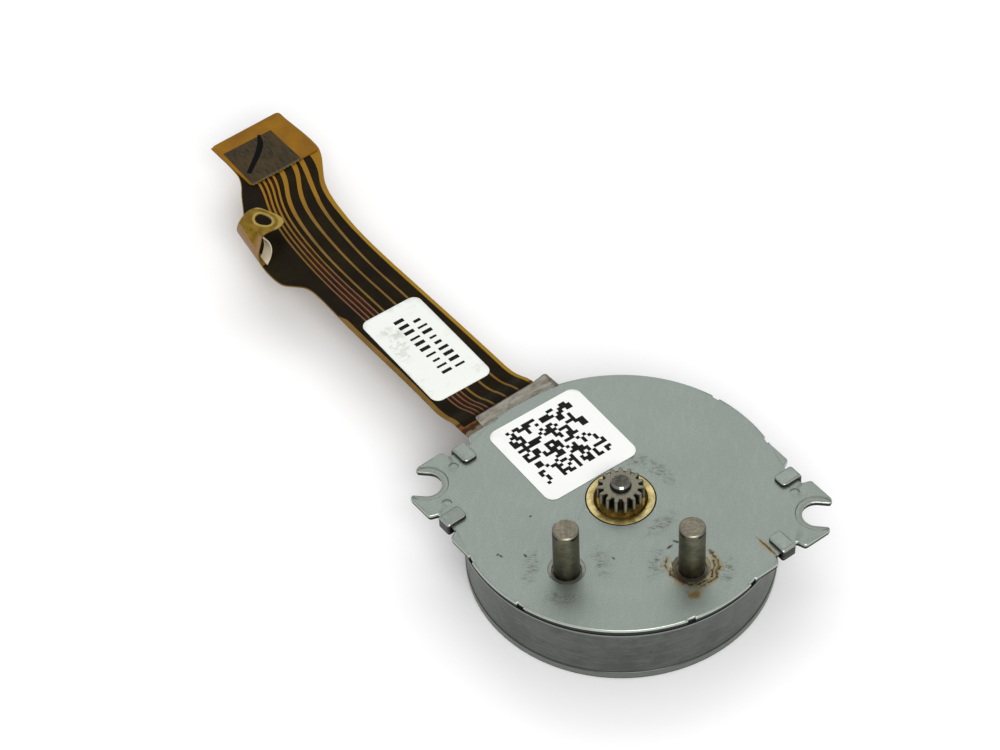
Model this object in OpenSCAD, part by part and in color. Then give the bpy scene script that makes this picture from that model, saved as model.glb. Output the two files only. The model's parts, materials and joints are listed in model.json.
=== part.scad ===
// Flat brushless gear-drive motor: stamped mounting plate on top, drawn can below,
// pinion and two gear posts standing on the plate, formed flexible circuit leaving one side.
// Frame: origin in the middle of the can's closed face, on the shaft axis.
// +Z runs along the shaft towards the pinion, +X through the middle of the right mounting ear.

/* [Plate] */
// radius of the round part of the mounting plate
plate_r = 19; // [15:0.5:25]
// thickness of the plate
plate_t = 0.8; // [0.6:0.1:2]
// height of the plate's upper face over the can's closed face
plate_top = 10; // [8:0.5:14]
// distance of the straight 45 degree flanks from the shaft axis
flank_d = 18.45; // [16:0.05:20]
// half distance between the tips of the two ears
ear_tip_x = 23.75; // [21:0.05:28]
// radius of the screw notch in each ear
notch_r = 1.7; // [1:0.05:2.5]
// distance of the notch centre from the shaft axis
notch_x = 22.2; // [20:0.1:26]
// width of the coined rim around each notch
coin_w = 0.7; // [0.3:0.05:1.2]
// depth of the coined rim
coin_t = 0.15; // [0.05:0.05:0.4]
// radius of the half-sheared dimples on the ears
dimple_r = 0.57; // [0.3:0.01:1]
// height of the dimples
dimple_h = 0.12; // [0.05:0.01:0.4]

/* [Can] */
// outer radius of the can wall
can_r = 18; // [14:0.5:24]
// sheet thickness of the can
can_t = 0.5; // [0.3:0.05:1]
// radius of the can's flange
flange_r = 18.9; // [15:0.05:24]
// height of the bevel at the closed end
bevel_h = 0.15; // [0.05:0.05:0.4]
// width of the bevel at the closed end
bevel_w = 0.15; // [0.05:0.05:0.4]
// height of the slightly thicker band at the closed end
band_h = 1.05; // [0.5:0.05:2]
// how far that band stands out from the wall
band_out = 0.07; // [0.02:0.01:0.3]
// width of a crimp tab
tab_w = 1.9; // [1:0.1:3]
// length of a crimp tab over the plate
tab_l = 2.3; // [1:0.1:4]

/* [Bearing] */
// radius of the brass bearing holder in the plate
holder_r = 4; // [3:0.1:6]
// inner radius of the holder's flat ring, around the oil groove
well_r = 3; // [2.6:0.05:3.8]
// depth of the oil groove
well_h = 0.35; // [0.1:0.05:1]
// outer radius of the holder's tube, inside the stator
tube_r = 3.4; // [2.8:0.1:4]
// outer radius of the sintered bushes
bush_r = 2.5; // [1.8:0.1:3]
// length of each bush
bush_l = 2; // [1:0.1:3]
// radial running clearance of the shaft in its bushes
run_gap = 0.02; // [0.01:0.01:0.1]

/* [Posts] */
// radius of the two gear posts
post_r = 1.5; // [1:0.05:2.5]
// height of the posts over the plate
post_h = 7; // [3:0.5:12]
// left post, X
post_left_x = -4.95; // [-9:0.05:-2]
// left post, Y
post_left_y = -10.9; // [-14:0.05:-8]
// right post, X
post_right_x = 8.85; // [5:0.05:12]
// right post, Y
post_right_y = -9.15; // [-13:0.05:-6]
// chamfer at the top of a post
post_chamfer = 0.15; // [0.05:0.05:0.5]

/* [Pinion and shaft] */
// radius of the shaft
shaft_r = 1.15; // [0.8:0.05:1.5]
// height of the shaft's end over the plate
shaft_h = 3; // [1:0.1:6]
// number of pinion teeth
teeth = 15; // [10:1:24]
// gear module of the pinion
module_mm = 0.3; // [0.2:0.05:0.5]
// radius over the pinion's teeth
pinion_tip_r = 2.7; // [2:0.05:4]
// radius at the root of the pinion's teeth
pinion_root_r = 2.03; // [1.5:0.01:3]
// height of the pinion's upper face over the plate
pinion_h = 2.25; // [1:0.05:5]
// gap between the plate's face and the pinion's lower face
pinion_gap = 0.5; // [0.3:0.05:1]

/* [Rotor] */
// outer radius of the rotor's steel cup
yoke_r = 16.6; // [12:0.1:17]
// sheet thickness of the rotor cup
yoke_t = 0.5; // [0.3:0.05:1]
// radial thickness of the ring magnet
magnet_t = 1.5; // [0.8:0.1:3]
// top of the ring magnet over the can's closed face
magnet_top = 7; // [5:0.1:8]

/* [Stator] */
// outer radius of the stator's pole shoes
core_r = 14.3; // [10:0.1:15]
// number of stator teeth and coils
slots = 9; // [6:3:12]
// height of the lamination stack
core_h = 2.5; // [1.5:0.1:4]
// width of a stator tooth
tooth_w = 2; // [1:0.1:3]
// width over a coil
coil_w = 4.2; // [3:0.1:4.6]

/* [Board] */
// outer radius of the circuit board
board_r = 16.9; // [12:0.1:17.4]
// thickness of the circuit board
board_t = 0.6; // [0.4:0.1:1]

/* [Flexible circuit] */
// thickness of the flexible circuit
flex_t = 0.15; // [0.1:0.01:0.3]
// height of the flexible circuit's underside where it runs level
flex_z = 6.9; // [5:0.1:8.7]
// direction in which the flexible circuit leaves
flex_angle = 135; // [90:1:180]
// radius of the loop of the folded side tab
loop_r = 1.6; // [1:0.1:2]
// thickness of the contact stiffener
stiff_t = 0.2; // [0.1:0.05:0.4]
// number of conductors and contact pads
ways = 8; // [4:1:12]

/* [Labels] */
// side of the square code sticker
sticker_w = 12.7; // [8:0.1:14]
// thickness of the stickers
sticker_t = 0.1; // [0.05:0.01:0.2]
// length of the label on the flexible circuit
label_l = 16.2; // [10:0.1:18]
// width of the label on the flexible circuit
label_w = 8.3; // [4:0.1:9]

/* [Hidden] */
$fn = 96;
eps = 0.01;
over = 1;
plate_bottom = plate_top - plate_t;

// plate outline along a flank: d is the distance from the axis, t runs along the flank
flank_from = 3;
shoulder_t = 7.65;
inset_t0 = 8.1;
inset_t1 = 11.2;
ear_t = 11.6;
inset_d = 17.35;
corner_r = 0.45;
ear_tip_y = 2.35;
lip_r = 0.35;
corner_steps = 5;
dimple_x = 19.5;
dimple_y = 2.75;
nick_w = 0.9;
nick_d = 0.25;
nick_angles = [30.5, 60, -30.5, -60, -120, -149.5, 149.5];
chord_d = 18.62;
chord_angle = 131;
chord_w = 12;
stake_w = 0.17;
stake_h = 0.25;

// can
can_bottom_in = can_t;
can_in_r = can_r - can_t;
flange_z = plate_bottom - can_t;
tab_t0 = 9.7 - tab_w / 2;
tab_out_d = inset_d + can_t + 0.05;
tab_neck_d = 12;
tab_top = plate_top + can_t;
window_w0 = -7.9;
window_w1 = 5.7;
window_z = 8.6;
window_s = 15;

// bearing
collar_r = 5;
collar_h = 0.8;
tube_bottom = 2.4;
tube_in_bottom = 2.6;
well_floor = plate_top - well_h;
front_bush_z = plate_top - bush_l;
rear_bush_z = tube_in_bottom;
bush_bore_r = shaft_r + run_gap;
lead_in = 0.15;

// posts
post_neck_r = post_r - 0.3;
post_head_r = 2;
post_head_h = 0.5;

// rotor
shaft_bottom = 0.9;
shaft_chamfer = 0.25;
pad_r = 1.6;
pad_h = 0.3;
hub_z = 1;
hub_flange_h = 0.2;
hub_flange_r = 3.2;
hub_r = 2.2;
hub_top = 2;
washer_r = 2.2;
washer_h = 0.25;
washer_bore_r = shaft_r + 0.01;
yoke_z = hub_z + hub_flange_h;
yoke_top = magnet_top + 0.2;
magnet_r = yoke_r - yoke_t;
magnet_bottom = yoke_z + yoke_t + 0.2;
pinion_bottom = plate_top + pinion_gap;
stop_h = 0.3;
stop_r = 2.1;

// stator
core_z = 3.4;
core_top = core_z + core_h;
core_ring_r = 6.2;
shoe_r = 12.8;
slot_open = 1.3;
insulator_t = 0.3;
insulator_in_r = 3.8;
coil_in = 7;
coil_out = 12.4;
coil_side = 0.6;
pin_r = 0.3;
pin_at = 5.85;
pin_count = 3;

// board
film_t = 0.1;
film_z = plate_bottom - film_t;
flex_in_z = film_z - flex_t;
board_z = flex_in_z - board_t;
board_in_r = 5.3;
pin_top = flex_in_z - eps;
post_clear_r = 2.4;
film_r = 17.2;
film_s = 20.8;
film_w0 = -5;
film_w1 = 5.6;
hall_w = 2.8;
hall_d = 1.6;
hall_h = 0.6;
hall_at = 15;
hall_angles = [50, 90, 130];
solder_r = 0.4;
solder_s = 8.3;
solder_pitch = 1.05;
solder_mid = -0.8;
solder_h = 0.12;

// flexible circuit, in its own axes: s runs outwards, w is the side towards +X
flex_in_s = 8.8;
bend_s = 19.6;
bend_angle = 32;
flex_drop = flex_in_z - flex_z;
bend_r = flex_drop / (2 * (1 - cos(bend_angle)));
bend_l = 2 * bend_r * sin(bend_angle);
bend_steps = 8;
level_s = bend_s + bend_l;
flex_end_s = 80.1;
wave_h = 0.2;
wave_l = 48;
wave_steps = 24;
stiff_s0 = 71;
stiff_w0 = -2;
stiff_w1 = 8.5;
stiff_corner = 0.6;
pad_t = 0.04;
pad_l = 3.5;
pad_w = 0.7;
pad_pitch = 1.25;
pad_edge = 0.5;
tape_s0 = 70.8;
tape_s1 = 78;
tape_w0 = -1.45;
tape_w1 = 5.7;
tape_t = 0.06;
tape_teeth = 14;
tape_tooth = 0.2;
label_s = 34.9;
label_mid = -1.65;
label_turn = -2.2;
label_corner = 1.1;
sticker_x = -7.47;
sticker_y = 7.42;
sticker_turn = 42.8;
sticker_corner = 1.2;

// side tab of the flexible circuit, folded over onto its upper face
fold_s0 = 59.4;
fold_s1 = 65.4;
fold_w = -7.3;
tab_end_w = -1.5;
fold_steps = 14;
slope_steps = 10;
tab_low = 0.25;
tab_hole_r = 1.1;
tab_hole_s = 64.8;
tab_hole_w = -4.5;

flex_right = [[80.1, 8.5], [72.2, 9], [70, 8.2], [67.9, 6.85], [65.6, 5.5], [62.8, 4.75],
  [59.5, 4.3], [56.7, 4], [51.5, 3.85], [43.8, 3.95], [34, 4], [24, 4], [17, 3.9]];
flex_left = [[17, -7], [20, -7.5], [22.5, -7.1], [27, -6.85], [34, -6.75], [43.4, -6.75],
  [50, -6.5], [52.3, -6.7], [53.6, -7.9], [54.6, -8.9], [56.4, -9.1], [58.5, -9],
  [59.3, -8.1], [60, -7.3], [65.4, -7.3], [66.6, -6.2], [68.4, -5.1], [70.4, -4],
  [72.4, -2.6], [74.4, -2], [80.1, -2]];
flex_root = [[17, 3.9], [8.8, 3.4], [8.8, -5], [17, -7]];
tab_plan = [[59.4, -9.6], [59.4, -7.2], [60.3, -6.7], [61.9, -6.3], [62.3, -5.4], [62.1, -3.8],
  [62.6, -2.6], [63.6, -2], [65.4, -2.5], [66.9, -3.7], [67.7, -5.2], [67.4, -6.9], [65.4, -8.2],
  [65.4, -9.6]];

// points of an outline with each corner cut twice, which rounds it
function cut(p, closed) = [for (i = [0 : len(p) - (closed ? 1 : 2)])
  let (a = p[i], b = p[(i + 1) % len(p)]) each [a * 0.75 + b * 0.25, a * 0.25 + b * 0.75]];
function soft(p) = concat([p[0]], cut(cut(p, false), false), [p[len(p) - 1]]);
function soft_closed(p) = cut(cut(p, true), true);

// outline with a radius on every corner
function arc(c, r, a0, sweep) = [for (i = [0 : corner_steps])
  c + r * [cos(a0 + sweep * i / corner_steps), sin(a0 + sweep * i / corner_steps)]];
function short(a) = a > 180 ? a - 360 : (a < -180 ? a + 360 : a);
function corner(a, b, c, r) =
  let (u = (a - b) / norm(a - b), v = (c - b) / norm(c - b), h = acos(u * v) / 2)
  let (m = b + (u + v) / norm(u + v) * r / sin(h), p = b + u * r / tan(h) - m,
    q = b + v * r / tan(h) - m, a0 = atan2(p[1], p[0]), a1 = atan2(q[1], q[0]))
  arc(m, r, a0, short(a1 - a0));
function rounded(p, r) = [for (i = [0 : len(p) - 1])
  each corner(p[(i + len(p) - 1) % len(p)], p[i], p[(i + 1) % len(p)], r[i])];

// from flank coordinates (distance, along) to plan coordinates in the first quadrant
function flank(d, t) = [(d + t) / sqrt(2), (d - t) / sqrt(2)];

// height of the flexible circuit's underside at distance s
function bend_z(s) = s < bend_s ? flex_in_z
  : s < bend_s + bend_l / 2
    ? flex_in_z - bend_r + sqrt(bend_r * bend_r - (s - bend_s) * (s - bend_s))
  : s < level_s ? flex_z + bend_r - sqrt(bend_r * bend_r - (level_s - s) * (level_s - s))
  : flex_z - wave_h * (1 - cos(360 * min(1, (s - level_s) / wave_l))) / 2;
function stations(s0, s1) = concat([s0], [for (i = [0 : bend_steps * 2])
  let (s = bend_s + bend_l * i / (bend_steps * 2)) if (s > s0 && s < s1) s],
  [for (i = [1 : wave_steps]) let (s = level_s + wave_l * i / wave_steps)
    if (s > s0 && s < s1) s], [s1]);

module place_flex() {
  rotate([0, 0, flex_angle]) children();
}

// outline given as [s, w] turned into plan coordinates of the flexible circuit
module plan(p) {
  polygon([for (q = p) [q[0], -q[1]]]);
}

// a layer of the flexible circuit, between w0 and w1, that follows its bends
module layer(s0, s1, low, thick) {
  st = stations(s0, s1);
  wide = plate_r * 2;
  translate([0, wide / 2, 0]) rotate([90, 0, 0]) linear_extrude(wide)
    polygon(concat([for (s = st) [s, bend_z(s) + low]],
      [for (i = [len(st) - 1 : -1 : 0]) [st[i], bend_z(st[i]) + low + thick]]));
}

module round_rect(w, h, r) {
  union() {
    square([w - 2 * r, h], center = true);
    square([w, h - 2 * r], center = true);
    for (x = [-1, 1]) for (y = [-1, 1])
      translate([x * (w / 2 - r), y * (h / 2 - r)]) circle(r);
  }
}

module four_flanks() {
  for (m = [0, 1]) for (n = [0, 1]) mirror([m, 0, 0]) mirror([0, n, 0]) children();
}

module half_ear() {
  p = [flank(flank_d, flank_from), flank(flank_d, shoulder_t), flank(inset_d, inset_t0),
    flank(inset_d, inset_t1), flank(flank_d, ear_t), [ear_tip_x, ear_tip_y],
    [ear_tip_x, 0], [0, 0]];
  r = [eps, corner_r, lip_r, lip_r, corner_r, corner_r, eps, eps];
  polygon(rounded(p, r));
}

module notch(r) {
  translate([notch_x, 0]) circle(r);
  translate([notch_x, -r]) square([plate_r, 2 * r]);
}

module plate_outline() {
  difference() {
    union() {
      circle(plate_r);
      for (m = [0, 1]) for (n = [0, 1]) mirror([m, 0, 0]) mirror([0, n, 0]) half_ear();
    }
    for (m = [0, 1]) mirror([m, 0, 0]) notch(notch_r);
    for (a = nick_angles) rotate(a) translate([plate_r, 0])
      square([2 * nick_d, nick_w], center = true);
    rotate(chord_angle) translate([chord_d, -chord_w / 2]) square([plate_r, chord_w]);
    circle(holder_r);
    post_holes(post_neck_r);
  }
}

module post_holes(r) {
  translate([post_left_x, post_left_y]) circle(r);
  translate([post_right_x, post_right_y]) circle(r);
}

module mounting_plate() color([0.62, 0.66, 0.63]) {
  difference() {
    translate([0, 0, plate_bottom]) linear_extrude(plate_t) plate_outline();
    for (m = [0, 1]) mirror([m, 0, 0]) translate([0, 0, plate_top - coin_t])
      linear_extrude(over) notch(notch_r + coin_w);
    translate([0, 0, plate_top - stake_h]) linear_extrude(over) post_holes(post_r + stake_w);
  }
  for (p = [[-dimple_x, dimple_y], [-dimple_x, -dimple_y], [dimple_x, dimple_y]])
    translate([p[0], p[1], plate_top - eps]) cylinder(r = dimple_r, h = dimple_h + eps);
}

// one crimp tab, drawn with its width along X and its length towards -Y, then turned
module crimp_tab() {
  rotate([0, 0, -45]) {
    translate([tab_t0, tab_neck_d, flange_z]) cube([tab_w, tab_out_d - tab_neck_d, can_t]);
    translate([tab_t0, tab_out_d - can_t, flange_z]) cube([tab_w, can_t, tab_top - flange_z]);
    translate([tab_t0, tab_out_d - tab_l - can_t, plate_top])
      cube([tab_w, tab_l + can_t, can_t]);
  }
}

module rear_can() color([0.42, 0.43, 0.43]) {
  difference() {
    union() {
      rotate_extrude() polygon([[0, 0], [can_r - bevel_w, 0], [can_r, bevel_h],
        [can_r, band_h], [can_r - band_out, band_h + band_out], [can_r - band_out, flange_z],
        [flange_r, flange_z], [flange_r, plate_bottom], [can_in_r, plate_bottom],
        [can_in_r, can_t + bevel_h], [can_in_r - bevel_w, can_t], [0, can_t]]);
      difference() {
        four_flanks() crimp_tab();
        cylinder(r = can_in_r + can_t / 2, h = plate_bottom);
      }
    }
    place_flex() translate([window_s, -window_w1, window_z])
      cube([plate_r, window_w1 - window_w0, plate_bottom - window_z + eps]);
  }
}

module bearing_holder() color([0.80, 0.66, 0.30]) {
  rotate_extrude() polygon([[bush_r, tube_bottom], [tube_r, tube_bottom],
    [tube_r, plate_bottom - collar_h], [collar_r, plate_bottom - collar_h],
    [collar_r, plate_bottom], [holder_r, plate_bottom], [holder_r, plate_top],
    [well_r + lead_in, plate_top], [well_r, plate_top - lead_in], [well_r, well_floor],
    [bush_r, well_floor]]);
}

module bush() {
  difference() {
    cylinder(r = bush_r, h = bush_l);
    translate([0, 0, -over]) cylinder(r = bush_bore_r, h = bush_l + 2 * over);
  }
}

module front_bush() color([0.60, 0.47, 0.30]) {
  translate([0, 0, front_bush_z]) bush();
}

module rear_bush() color([0.60, 0.47, 0.30]) {
  translate([0, 0, rear_bush_z]) bush();
}

module thrust_pad() color([0.90, 0.90, 0.85]) {
  translate([0, 0, can_bottom_in]) cylinder(r = pad_r, h = pad_h);
}

module post() {
  rotate_extrude() polygon([[0, plate_bottom - post_head_h],
    [post_head_r, plate_bottom - post_head_h], [post_head_r, plate_bottom],
    [post_neck_r, plate_bottom], [post_neck_r, plate_top], [post_r, plate_top],
    [post_r, plate_top + post_h - post_chamfer],
    [post_r - post_chamfer, plate_top + post_h], [0, plate_top + post_h]]);
}

module gear_post_left() color([0.66, 0.63, 0.60]) {
  translate([post_left_x, post_left_y, 0]) post();
}

module gear_post_right() color([0.66, 0.63, 0.60]) {
  translate([post_right_x, post_right_y, 0]) post();
}

module tooth_bars(from, to, w) {
  for (i = [0 : slots - 1]) rotate(360 * i / slots)
    translate([from, -w / 2]) square([to - from, w]);
}

module stator_core() color([0.45, 0.45, 0.48]) {
  translate([0, 0, core_z]) linear_extrude(core_h) difference() {
    union() {
      circle(core_ring_r);
      tooth_bars(0, shoe_r + eps, tooth_w);
      difference() {
        circle(core_r);
        circle(shoe_r);
        rotate(180 / slots) tooth_bars(0, plate_r, slot_open);
      }
    }
    circle(tube_r);
  }
}

module insulator() {
  linear_extrude(insulator_t) difference() {
    union() {
      circle(core_ring_r);
      tooth_bars(0, shoe_r, tooth_w);
    }
    circle(insulator_in_r);
  }
}

module core_insulators() color([0.88, 0.86, 0.78]) {
  translate([0, 0, core_top]) insulator();
  translate([0, 0, core_z - insulator_t]) insulator();
}

module coils() color([0.72, 0.38, 0.20]) {
  inner_z = core_z - insulator_t;
  inner_h = core_h + 2 * insulator_t;
  for (i = [0 : slots - 1]) rotate([0, 0, 360 * i / slots])
    translate([coil_in, 0, inner_z + inner_h / 2]) rotate([0, 90, 0])
      linear_extrude(coil_out - coil_in) difference() {
        round_rect(inner_h + 2 * coil_side, coil_w, coil_side);
        square([inner_h, tooth_w], center = true);
      }
}

module terminal_pins() color([0.80, 0.80, 0.80]) {
  for (i = [0 : pin_count - 1]) rotate([0, 0, 180 / slots + 120 * i])
    translate([pin_at, 0, core_top + insulator_t])
      cylinder(r = pin_r, h = pin_top - core_top - insulator_t);
}

module board_plan(r, in_r) {
  difference() {
    circle(r);
    circle(in_r);
    post_holes(post_clear_r);
  }
}

module circuit_board() color([0.10, 0.35, 0.20]) {
  difference() {
    translate([0, 0, board_z]) linear_extrude(board_t) board_plan(board_r, board_in_r);
    for (i = [0 : pin_count - 1]) rotate([0, 0, 180 / slots + 120 * i])
      translate([pin_at, 0, board_z - over]) cylinder(r = pin_r, h = board_t + 2 * over);
  }
}

module hall_sensors() color([0.10, 0.10, 0.10]) {
  for (a = hall_angles) rotate([0, 0, a])
    translate([hall_at - hall_d / 2, -hall_w / 2, board_z - hall_h])
      cube([hall_d, hall_w, hall_h]);
}

module solder_joints() color([0.78, 0.79, 0.80]) {
  place_flex() for (i = [0 : ways - 1])
    translate([solder_s, -solder_mid + solder_pitch * (i - (ways - 1) / 2), flex_in_z])
      cylinder(r = solder_r, h = solder_h);
}

// side profile of the folded tab: half loop outwards, then a slope back down to the strip
function fold_mid(i, r) = i <= fold_steps
  ? [fold_w - r * sin(180 * i / fold_steps), loop_r - r * cos(180 * i / fold_steps)]
  : let (k = (i - fold_steps) / slope_steps, e = (1 - cos(180 * k)) / 2,
      top = loop_r + r, low = tab_low + (r - loop_r))
    [fold_w + (tab_end_w - fold_w) * k, top + (low - top) * e];

module fold_profile() {
  n = fold_steps + slope_steps;
  polygon(concat([for (i = [0 : n]) fold_mid(i, loop_r)],
    [for (i = [n : -1 : 0]) fold_mid(i, loop_r - flex_t)]));
}

module side_tab() {
  base = bend_z((fold_s0 + fold_s1) / 2);
  difference() {
    intersection() {
      translate([fold_s0, 0, base]) rotate([90, 0, 90])
        linear_extrude(tab_hole_s) mirror([1, 0, 0]) fold_profile();
      linear_extrude(plate_top) plan(concat([tab_plan[0]], soft(tab_plan)));
    }
    translate([tab_hole_s, -tab_hole_w, base + flex_t + eps])
      cylinder(r = tab_hole_r, h = plate_top);
  }
}

module flex_circuit() color([0.42, 0.28, 0.10]) {
  place_flex() {
    intersection() {
      layer(flex_in_s, flex_end_s, 0, flex_t);
      linear_extrude(plate_top)
        plan(concat(soft(flex_right), flex_root, soft(flex_left)));
    }
    side_tab();
  }
}

module contact_stiffener() color([0.66, 0.45, 0.16]) {
  l = flex_end_s - stiff_s0;
  w = stiff_w1 - stiff_w0;
  place_flex() intersection() {
    layer(stiff_s0, flex_end_s, flex_t, stiff_t);
    translate([stiff_s0 + l / 2, -(stiff_w0 + stiff_w1) / 2, 0])
      linear_extrude(plate_top) round_rect(l, w, stiff_corner);
  }
}

module contact_pads() color([0.85, 0.70, 0.35]) {
  middle = -(stiff_w0 + stiff_w1) / 2 - pad_w / 2;
  place_flex() for (i = [0 : ways - 1])
    translate([flex_end_s - pad_edge - pad_l, middle + pad_pitch * (i - (ways - 1) / 2),
      bend_z(flex_end_s) - pad_t]) cube([pad_l, pad_w, pad_t]);
}

module tape_patch() color([0.45, 0.42, 0.34]) {
  step = (tape_w1 - tape_w0) / tape_teeth;
  saw = [for (i = [0 : 2 * tape_teeth])
    [tape_s0 + (i % 2) * tape_tooth, tape_w0 + step * i / 2]];
  place_flex() intersection() {
    layer(tape_s0, tape_s1, flex_t + stiff_t, tape_t);
    linear_extrude(plate_top)
      plan(concat(saw, [[tape_s1 - tape_tooth, tape_w1], [tape_s1, tape_w0]]));
  }
}

module part_label() color([0.93, 0.93, 0.90]) {
  place_flex() intersection() {
    layer(level_s - 1, label_s + label_l, flex_t, sticker_t);
    translate([label_s, -label_mid, 0]) rotate([0, 0, label_turn])
      linear_extrude(plate_top) round_rect(label_l, label_w, label_corner);
  }
}

module code_sticker() color([0.95, 0.95, 0.93]) {
  translate([sticker_x, sticker_y, plate_top]) rotate([0, 0, sticker_turn])
    linear_extrude(sticker_t) round_rect(sticker_w, sticker_w, sticker_corner);
}

module insulating_film() color([0.60, 0.58, 0.54]) {
  translate([0, 0, film_z]) linear_extrude(film_t) union() {
    board_plan(film_r, board_in_r);
    rotate(flex_angle) translate([board_r - over, -film_w1])
      square([film_s - board_r + over, film_w1 - film_w0]);
  }
}

module shaft() color([0.60, 0.60, 0.60]) {
  top = plate_top + shaft_h;
  rotate_extrude() polygon([[0, shaft_bottom], [shaft_r - shaft_chamfer, shaft_bottom],
    [shaft_r, shaft_bottom + shaft_chamfer], [shaft_r, top - shaft_chamfer],
    [shaft_r - shaft_chamfer, top], [0, top]]);
}

// one tooth as root, flank and tip points, repeated around
tooth_pitch = 360 / teeth;
tooth_shape = [[pinion_root_r, 0.36], [pinion_root_r + module_mm * 0.45, 0.31],
  [pinion_tip_r - module_mm * 0.75, 0.25], [pinion_tip_r - module_mm * 0.15, 0.13],
  [pinion_tip_r, 0.09]];
function polar(r, a) = [r * cos(a), r * sin(a)];

module pinion() color([0.50, 0.50, 0.49]) {
  n = len(tooth_shape) - 1;
  outline = [for (k = [0 : teeth - 1])
    each concat([for (i = [0 : n])
        polar(tooth_shape[i][0], tooth_pitch * (k - tooth_shape[i][1]))],
      [for (i = [n : -1 : 0])
        polar(tooth_shape[i][0], tooth_pitch * (k + tooth_shape[i][1]))])];
  translate([0, 0, pinion_bottom]) linear_extrude(plate_top + pinion_h - pinion_bottom)
    difference() {
      polygon(outline);
      circle(shaft_r);
    }
}

module rotor_hub() color([0.78, 0.64, 0.32]) {
  rotate_extrude() polygon([[shaft_r, hub_z], [hub_flange_r, hub_z],
    [hub_flange_r, hub_z + hub_flange_h], [hub_r, hub_z + hub_flange_h], [hub_r, hub_top],
    [shaft_r, hub_top]]);
}

module rotor_yoke() color([0.55, 0.56, 0.57]) {
  rotate_extrude() polygon([[hub_r, yoke_z], [yoke_r, yoke_z], [yoke_r, yoke_top],
    [magnet_r, yoke_top], [magnet_r, yoke_z + yoke_t], [hub_r, yoke_z + yoke_t]]);
}

module ring_magnet() color([0.25, 0.24, 0.24]) {
  rotate_extrude() polygon([[magnet_r - magnet_t, magnet_bottom], [magnet_r, magnet_bottom],
    [magnet_r, magnet_top], [magnet_r - magnet_t, magnet_top]]);
}

module washer(h, r) {
  difference() {
    cylinder(r = r, h = h);
    translate([0, 0, -over]) cylinder(r = washer_bore_r, h = h + 2 * over);
  }
}

module thrust_washer() color([0.85, 0.83, 0.75]) {
  translate([0, 0, hub_top]) washer(washer_h, washer_r);
}

module stop_washer() color([0.20, 0.20, 0.22]) {
  translate([0, 0, pinion_bottom - stop_h]) washer(stop_h, stop_r);
}

mounting_plate();
rear_can();
bearing_holder();
front_bush();
rear_bush();
thrust_pad();
gear_post_left();
gear_post_right();
stator_core();
core_insulators();
coils();
terminal_pins();
circuit_board();
hall_sensors();
solder_joints();
flex_circuit();
contact_stiffener();
contact_pads();
tape_patch();
part_label();
code_sticker();
insulating_film();
shaft();
pinion();
rotor_hub();
rotor_yoke();
ring_magnet();
thrust_washer();
stop_washer();
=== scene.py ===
import bpy
import bmesh
import json
import math
import random
from mathutils import Matrix, Vector
from mathutils.geometry import delaunay_2d_cdt


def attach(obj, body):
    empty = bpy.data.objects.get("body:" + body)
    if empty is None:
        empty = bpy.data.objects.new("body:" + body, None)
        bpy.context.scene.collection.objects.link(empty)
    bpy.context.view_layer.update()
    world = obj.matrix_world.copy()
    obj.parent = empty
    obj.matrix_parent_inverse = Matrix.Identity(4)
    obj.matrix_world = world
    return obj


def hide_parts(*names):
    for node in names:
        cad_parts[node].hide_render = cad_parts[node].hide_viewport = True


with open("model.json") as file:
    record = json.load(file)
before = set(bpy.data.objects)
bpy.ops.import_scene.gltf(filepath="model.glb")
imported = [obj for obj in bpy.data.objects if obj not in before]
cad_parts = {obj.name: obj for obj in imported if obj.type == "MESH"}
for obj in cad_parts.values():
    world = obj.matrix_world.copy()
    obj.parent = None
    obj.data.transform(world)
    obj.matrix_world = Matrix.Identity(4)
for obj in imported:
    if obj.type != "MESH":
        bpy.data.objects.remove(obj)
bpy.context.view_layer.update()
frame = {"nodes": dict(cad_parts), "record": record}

# ---------------------------------------------------------------- sizes, in mm, as in the CAD
MM = 0.001
ROOT2 = 1 / math.sqrt(2)
PLATE_R, PLATE_TOP, PLATE_T = 19.0, 10.0, 0.8
PLATE_BOTTOM = PLATE_TOP - PLATE_T
FLANK_D, INSET_D, EAR_TIP_X, EAR_TIP_Y = 18.45, 17.35, 23.75, 2.35
NOTCH_X, NOTCH_R, COIN_R, COIN_T = 22.2, 1.7, 2.4, 0.15
DIMPLES = [(-19.5, 2.75), (-19.5, -2.75), (19.5, 2.75)]
DIMPLE_R, DIMPLE_H = 0.57, 0.12
POSTS = {"left": (-4.95, -10.9), "right": (8.85, -9.15)}
POST_R, POST_TOP, POST_CHAMFER = 1.5, 17.0, 0.15
HOLDER_R, WELL_R, WELL_FLOOR, BUSH_R = 3.95, 3.0, 9.65, 2.5
CAN_R, CAN_T, FLANGE_R, FLANGE_LOW, CAN_TOP = 18.0, 0.5, 18.9, 8.7, 9.2
BEVEL, BAND_H, BAND_OUT = 0.15, 1.05, 0.07
TAB_W, TAB_T, TAB_OUT, TAB_TIP, TAB_MID = 1.9, 0.5, 17.9, 15.1, 9.7
TIP_CORNER, TAB_ROOT = 0.5, 15.2
SHAFT_R, SHAFT_TOP, SHAFT_LOW, SHAFT_CHAMFER = 1.15, 13.0, 0.9, 0.25
TEETH, TIP_R, ROOT_R = 15, 2.7, 2.03
PINION_LOW, PINION_TOP = 10.5, 12.25
FLEX_T, FLEX_IN_Z, FLEX_Z = 0.15, 8.95, 6.9
STIFFENER, STIFF_T = (71.0, 80.1, -2.0, 8.5), 0.2
FILM_R, FILM_HOLE_R, FILM_POST_R, FILM_LOW = 17.2, 5.4, 2.4, 9.1
BEND_S, BEND_A, WAVE_H, WAVE_L = 19.6, 32.0, 0.2, 48.0
STICKER = dict(x=-7.47, y=7.42, turn=42.8, side=12.7, corner=1.2, print=(-8.05, 7.65))
LABEL = dict(s=34.9, w=-1.65, turn=2.2, length=16.2, width=8.3, corner=1.1, t=0.1)
SEED = 21


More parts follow.
